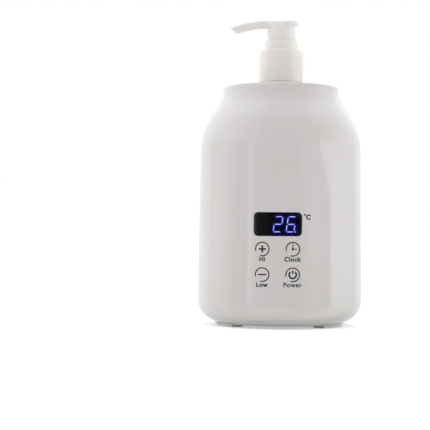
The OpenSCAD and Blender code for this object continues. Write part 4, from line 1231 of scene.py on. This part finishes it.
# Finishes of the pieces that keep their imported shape

nodeFinishes = {
    "base_cover": texturedAbs,
    "cup_cushion": siliconeRubber,
    "cup_seal": siliconeRubber,
    "neck_gasket": siliconeRubber,
    "heater_band": heaterFilm,
    "insulation_sleeve": ceramicFelt,
    "thermistor": stampedBrass,
    "thermal_fuse": fuseCeramic,
    "fuse_clip": nickelSteel,
    "control_board": glassEpoxyBoard,
    "board_parts": chipEpoxy,
    "lead_connectors": ivoryNylon,
    "display_module": displayEpoxy,
    "dark_segments": unlitDiffuser,
    "touch_springs": springSteel,
    "board_screws": nickelSteel,
    "base_screws": nickelSteel,
    "inlet_nut": nickelSteel,
    "power_leads": redPvc,
    "sensor_leads": blackPvc,
    "heater_leads": whitePvc,
    "pump_housing": naturalPolypropylene,
    "dip_tube": naturalPolypropylene,
    "ball_cage": naturalPolypropylene,
    "inlet_ball": nickelSteel,
    "stem": naturalPolypropylene,
    "piston": naturalPolypropylene,
}


def finishNodes():
    for name, material in nodeFinishes.items():
        slots = nodes[name].data.materials
        slots.clear()
        slots.append(material)


finishNodes()
print("finishes set on", len(nodeFinishes), "nodes")


# Studio: pale floor, white surround and three soft boxes

studio = {
    "floorSize": 40.0,  # metres
    "floorColours": ("#F2F2F1", "#F4F4F3"), "fibre": 3,  # fibre of the paper in mm
    "floorGlow": 0.38,  # lifts the floor to white for the camera, shadows stay
    "fill": 0.77,  # strength of the surround on the object
    "glossPeak": 2.2,  # brightest that the gloss sees, the shares below are of this
    "wallRing": ((-180, 0.5), (-157, 0.5), (-119.5, 0.62), (-117.5, 0.42), (-90, 0.46), (-72, 0.3),
                 (-67, 0.09), (-62, 0.04), (-46, 0.03), (-44.5, 0.12), (-42, 0.6), (-40, 0.55), (-36, 0.3),
                 (-33, 0.1), (-15, 0.07), (-13, 0.015), (33, 0.015), (37, 0.18), (60, 0.32), (62, 0.18),
                 (75, 0.17), (77, 1.0), (90, 0.98), (104, 0.77), (124, 0.54), (131, 0.44), (134, 0.62),
                 (158, 0.5), (180, 0.5)),  # by degrees, with a soft box from 77
    "skyRing": ((-180, 0.5), (-150, 0.63), (-125, 0.69), (-103, 0.67), (-60, 0.4), (-20, 0.1),
                (40, 0.08), (68, 0.26), (91, 0.52), (112, 0.62), (130, 0.66), (150, 0.72), (180, 0.5)),
    "skyFrom": (0.12, 0.34),  # upward share of a direction at which wall turns into sky
    "groundRing": ((-180, 0.3), (-135, 0.3), (-120, 0.45), (-60, 0.5), (60, 0.55), (77, 0.9), (104, 0.8),
                   (131, 0.35), (180, 0.3)),
    "groundFrom": (-0.1, -0.7),
    "leanRing": ((0, 0.0), (60, 0.047), (131, 0.0)),  # by this share of a turn the soft box leans forwards
    "leanFrom": (0.05, 0.09),
    "overhead": 0.25, "overheadFrom": (0.7, 0.97),  # level added overhead
    "boxes": (
        {"name": "rightBox", "at": (1.41, 0.51, 0.5), "size": (0.9, 1.2), "watts": 3.4},
        {"name": "leftBox", "at": (-1.41, 0.51, 0.5), "size": (0.9, 1.2), "watts": 5.6},
        {"name": "topBox", "at": (0.0, 0.0, 1.45), "size": (1.0, 1.0), "watts": 2.5},
    ),
    "aim": (0, 0, 0.09),
}


def makeFloor():
    size = studio["floorSize"] / 2
    data = bpy.data.meshes.new("floor")
    data.from_pydata([(-size, -size, 0), (size, -size, 0), (size, size, 0), (-size, size, 0)], [],
                     [(0, 1, 2, 3)])
    material, tree = startMaterial("matt white paper")
    place = addNode(tree, "TexCoord").outputs["Object"]
    fibre = addNode(tree, "TexNoise", {"Scale": perMetre(studio["fibre"]), "Detail": 2}, {"Vector": place})
    tint = addNode(tree, "Mix", {"data_type": "RGBA", 6: toLinear(studio["floorColours"][0]),
                                 7: toLinear(studio["floorColours"][1])}, {0: fibre.outputs[0]})
    paper = addNode(tree, "BsdfDiffuse", None, {"Color": tint.outputs[2]})
    path = addNode(tree, "LightPath")
    seen = addNode(tree, "Math", {"operation": "MULTIPLY", 1: studio["floorGlow"]},
                   {0: path.outputs["Is Camera Ray"]})
    glow = addNode(tree, "Emission", {"Color": (1, 1, 1, 1)}, {"Strength": seen.outputs[0]})
    both = addNode(tree, "AddShader", None, {0: paper.outputs[0], 1: glow.outputs[0]})
    addNode(tree, "OutputMaterial", None, {"Surface": both.outputs[0]})
    data.materials.append(material)
    floor = addObject("floor", data)
    floor.visible_glossy = False  # the gloss sees the surround instead


def addRing(tree, source, stops):  # level that the gloss sees, by degrees from the camera's side
    ring = addNode(tree, "ValToRGB", None, {"Fac": source})
    steps = ring.color_ramp.elements
    while len(steps) < len(stops):
        steps.new(0.5)
    for step, (degrees, share) in zip(steps, stops):
        step.position = degrees / 360 + 0.5
        step.color = (share, share, share, 1)
    return ring.outputs[0]


def makeSurround():
    world = bpy.data.worlds.new("studio")
    bpy.context.scene.world = world
    world.use_nodes = True
    tree = world.node_tree
    tree.nodes.clear()
    path = addNode(tree, "LightPath").outputs
    way = addNode(tree, "TexCoord").outputs["Generated"]
    apart = addNode(tree, "SeparateXYZ", None, {0: way}).outputs
    ahead = addNode(tree, "Math", {"operation": "MULTIPLY", 1: -1}, {0: apart["Y"]})
    angle = addNode(tree, "Math", {"operation": "ARCTAN2"}, {0: apart["X"], 1: ahead.outputs[0]})
    turn = addNode(tree, "MapRange", {"From Min": -math.pi, "From Max": math.pi},
                   {"Value": angle.outputs[0]}).outputs[0]
    sky, ground, overhead, lean = (
        addNode(tree, "MapRange", dict(zip(("From Min", "From Max"), studio[name])),
                {"Value": apart["Z"]}).outputs[0]
        for name in ("skyFrom", "groundFrom", "overheadFrom", "leanFrom"))
    leant = addNode(tree, "Math", {"operation": "MULTIPLY_ADD"},
                    {0: addRing(tree, turn, studio["leanRing"]), 1: lean, 2: turn})
    level = addRing(tree, leant.outputs[0], studio["wallRing"])
    for share, name in ((sky, "skyRing"), (ground, "groundRing")):
        level = addNode(tree, "Mix", {"data_type": "RGBA"},
                        {0: share, 6: level, 7: addRing(tree, turn, studio[name])}).outputs[2]
    total = addNode(tree, "Math", {"operation": "MULTIPLY_ADD", 1: studio["overhead"]},
                    {0: overhead, 2: level})
    gloss = addNode(tree, "Math", {"operation": "MULTIPLY", 1: studio["glossPeak"]}, {0: total.outputs[0]})
    clear = addNode(tree, "Math", {"operation": "MAXIMUM"}, {0: path["Is Camera Ray"],
                                                             1: path["Is Transmission Ray"]})
    seen = addNode(tree, "Mix", {"data_type": "FLOAT", 2: studio["fill"]},
                   {0: path["Is Glossy Ray"], 3: gloss.outputs[0]})
    strength = addNode(tree, "Mix", {"data_type": "FLOAT", 3: 1.0},
                       {0: clear.outputs[0], 2: seen.outputs[0]})
    light = addNode(tree, "Background", {"Color": (1, 1, 1, 1)}, {"Strength": strength.outputs[0]})
    addNode(tree, "OutputWorld", None, {"Surface": light.outputs[0]})


def makeBoxes():
    for box in studio["boxes"]:
        data = bpy.data.lights.new(box["name"], "AREA")
        data.shape = "RECTANGLE"
        data.size, data.size_y = box["size"]
        data.energy = box["watts"]
        lamp = addObject(box["name"], data)
        lamp.location = box["at"]
        lamp.visible_glossy = False  # the gloss sees the surround instead
        aim = Vector(studio["aim"]) - Vector(box["at"])
        lamp.rotation_euler = aim.to_track_quat("-Z", "Y").to_euler()


makeFloor()
makeSurround()
makeBoxes()
bpy.context.scene.view_settings.view_transform = "Standard"
print("studio lit")
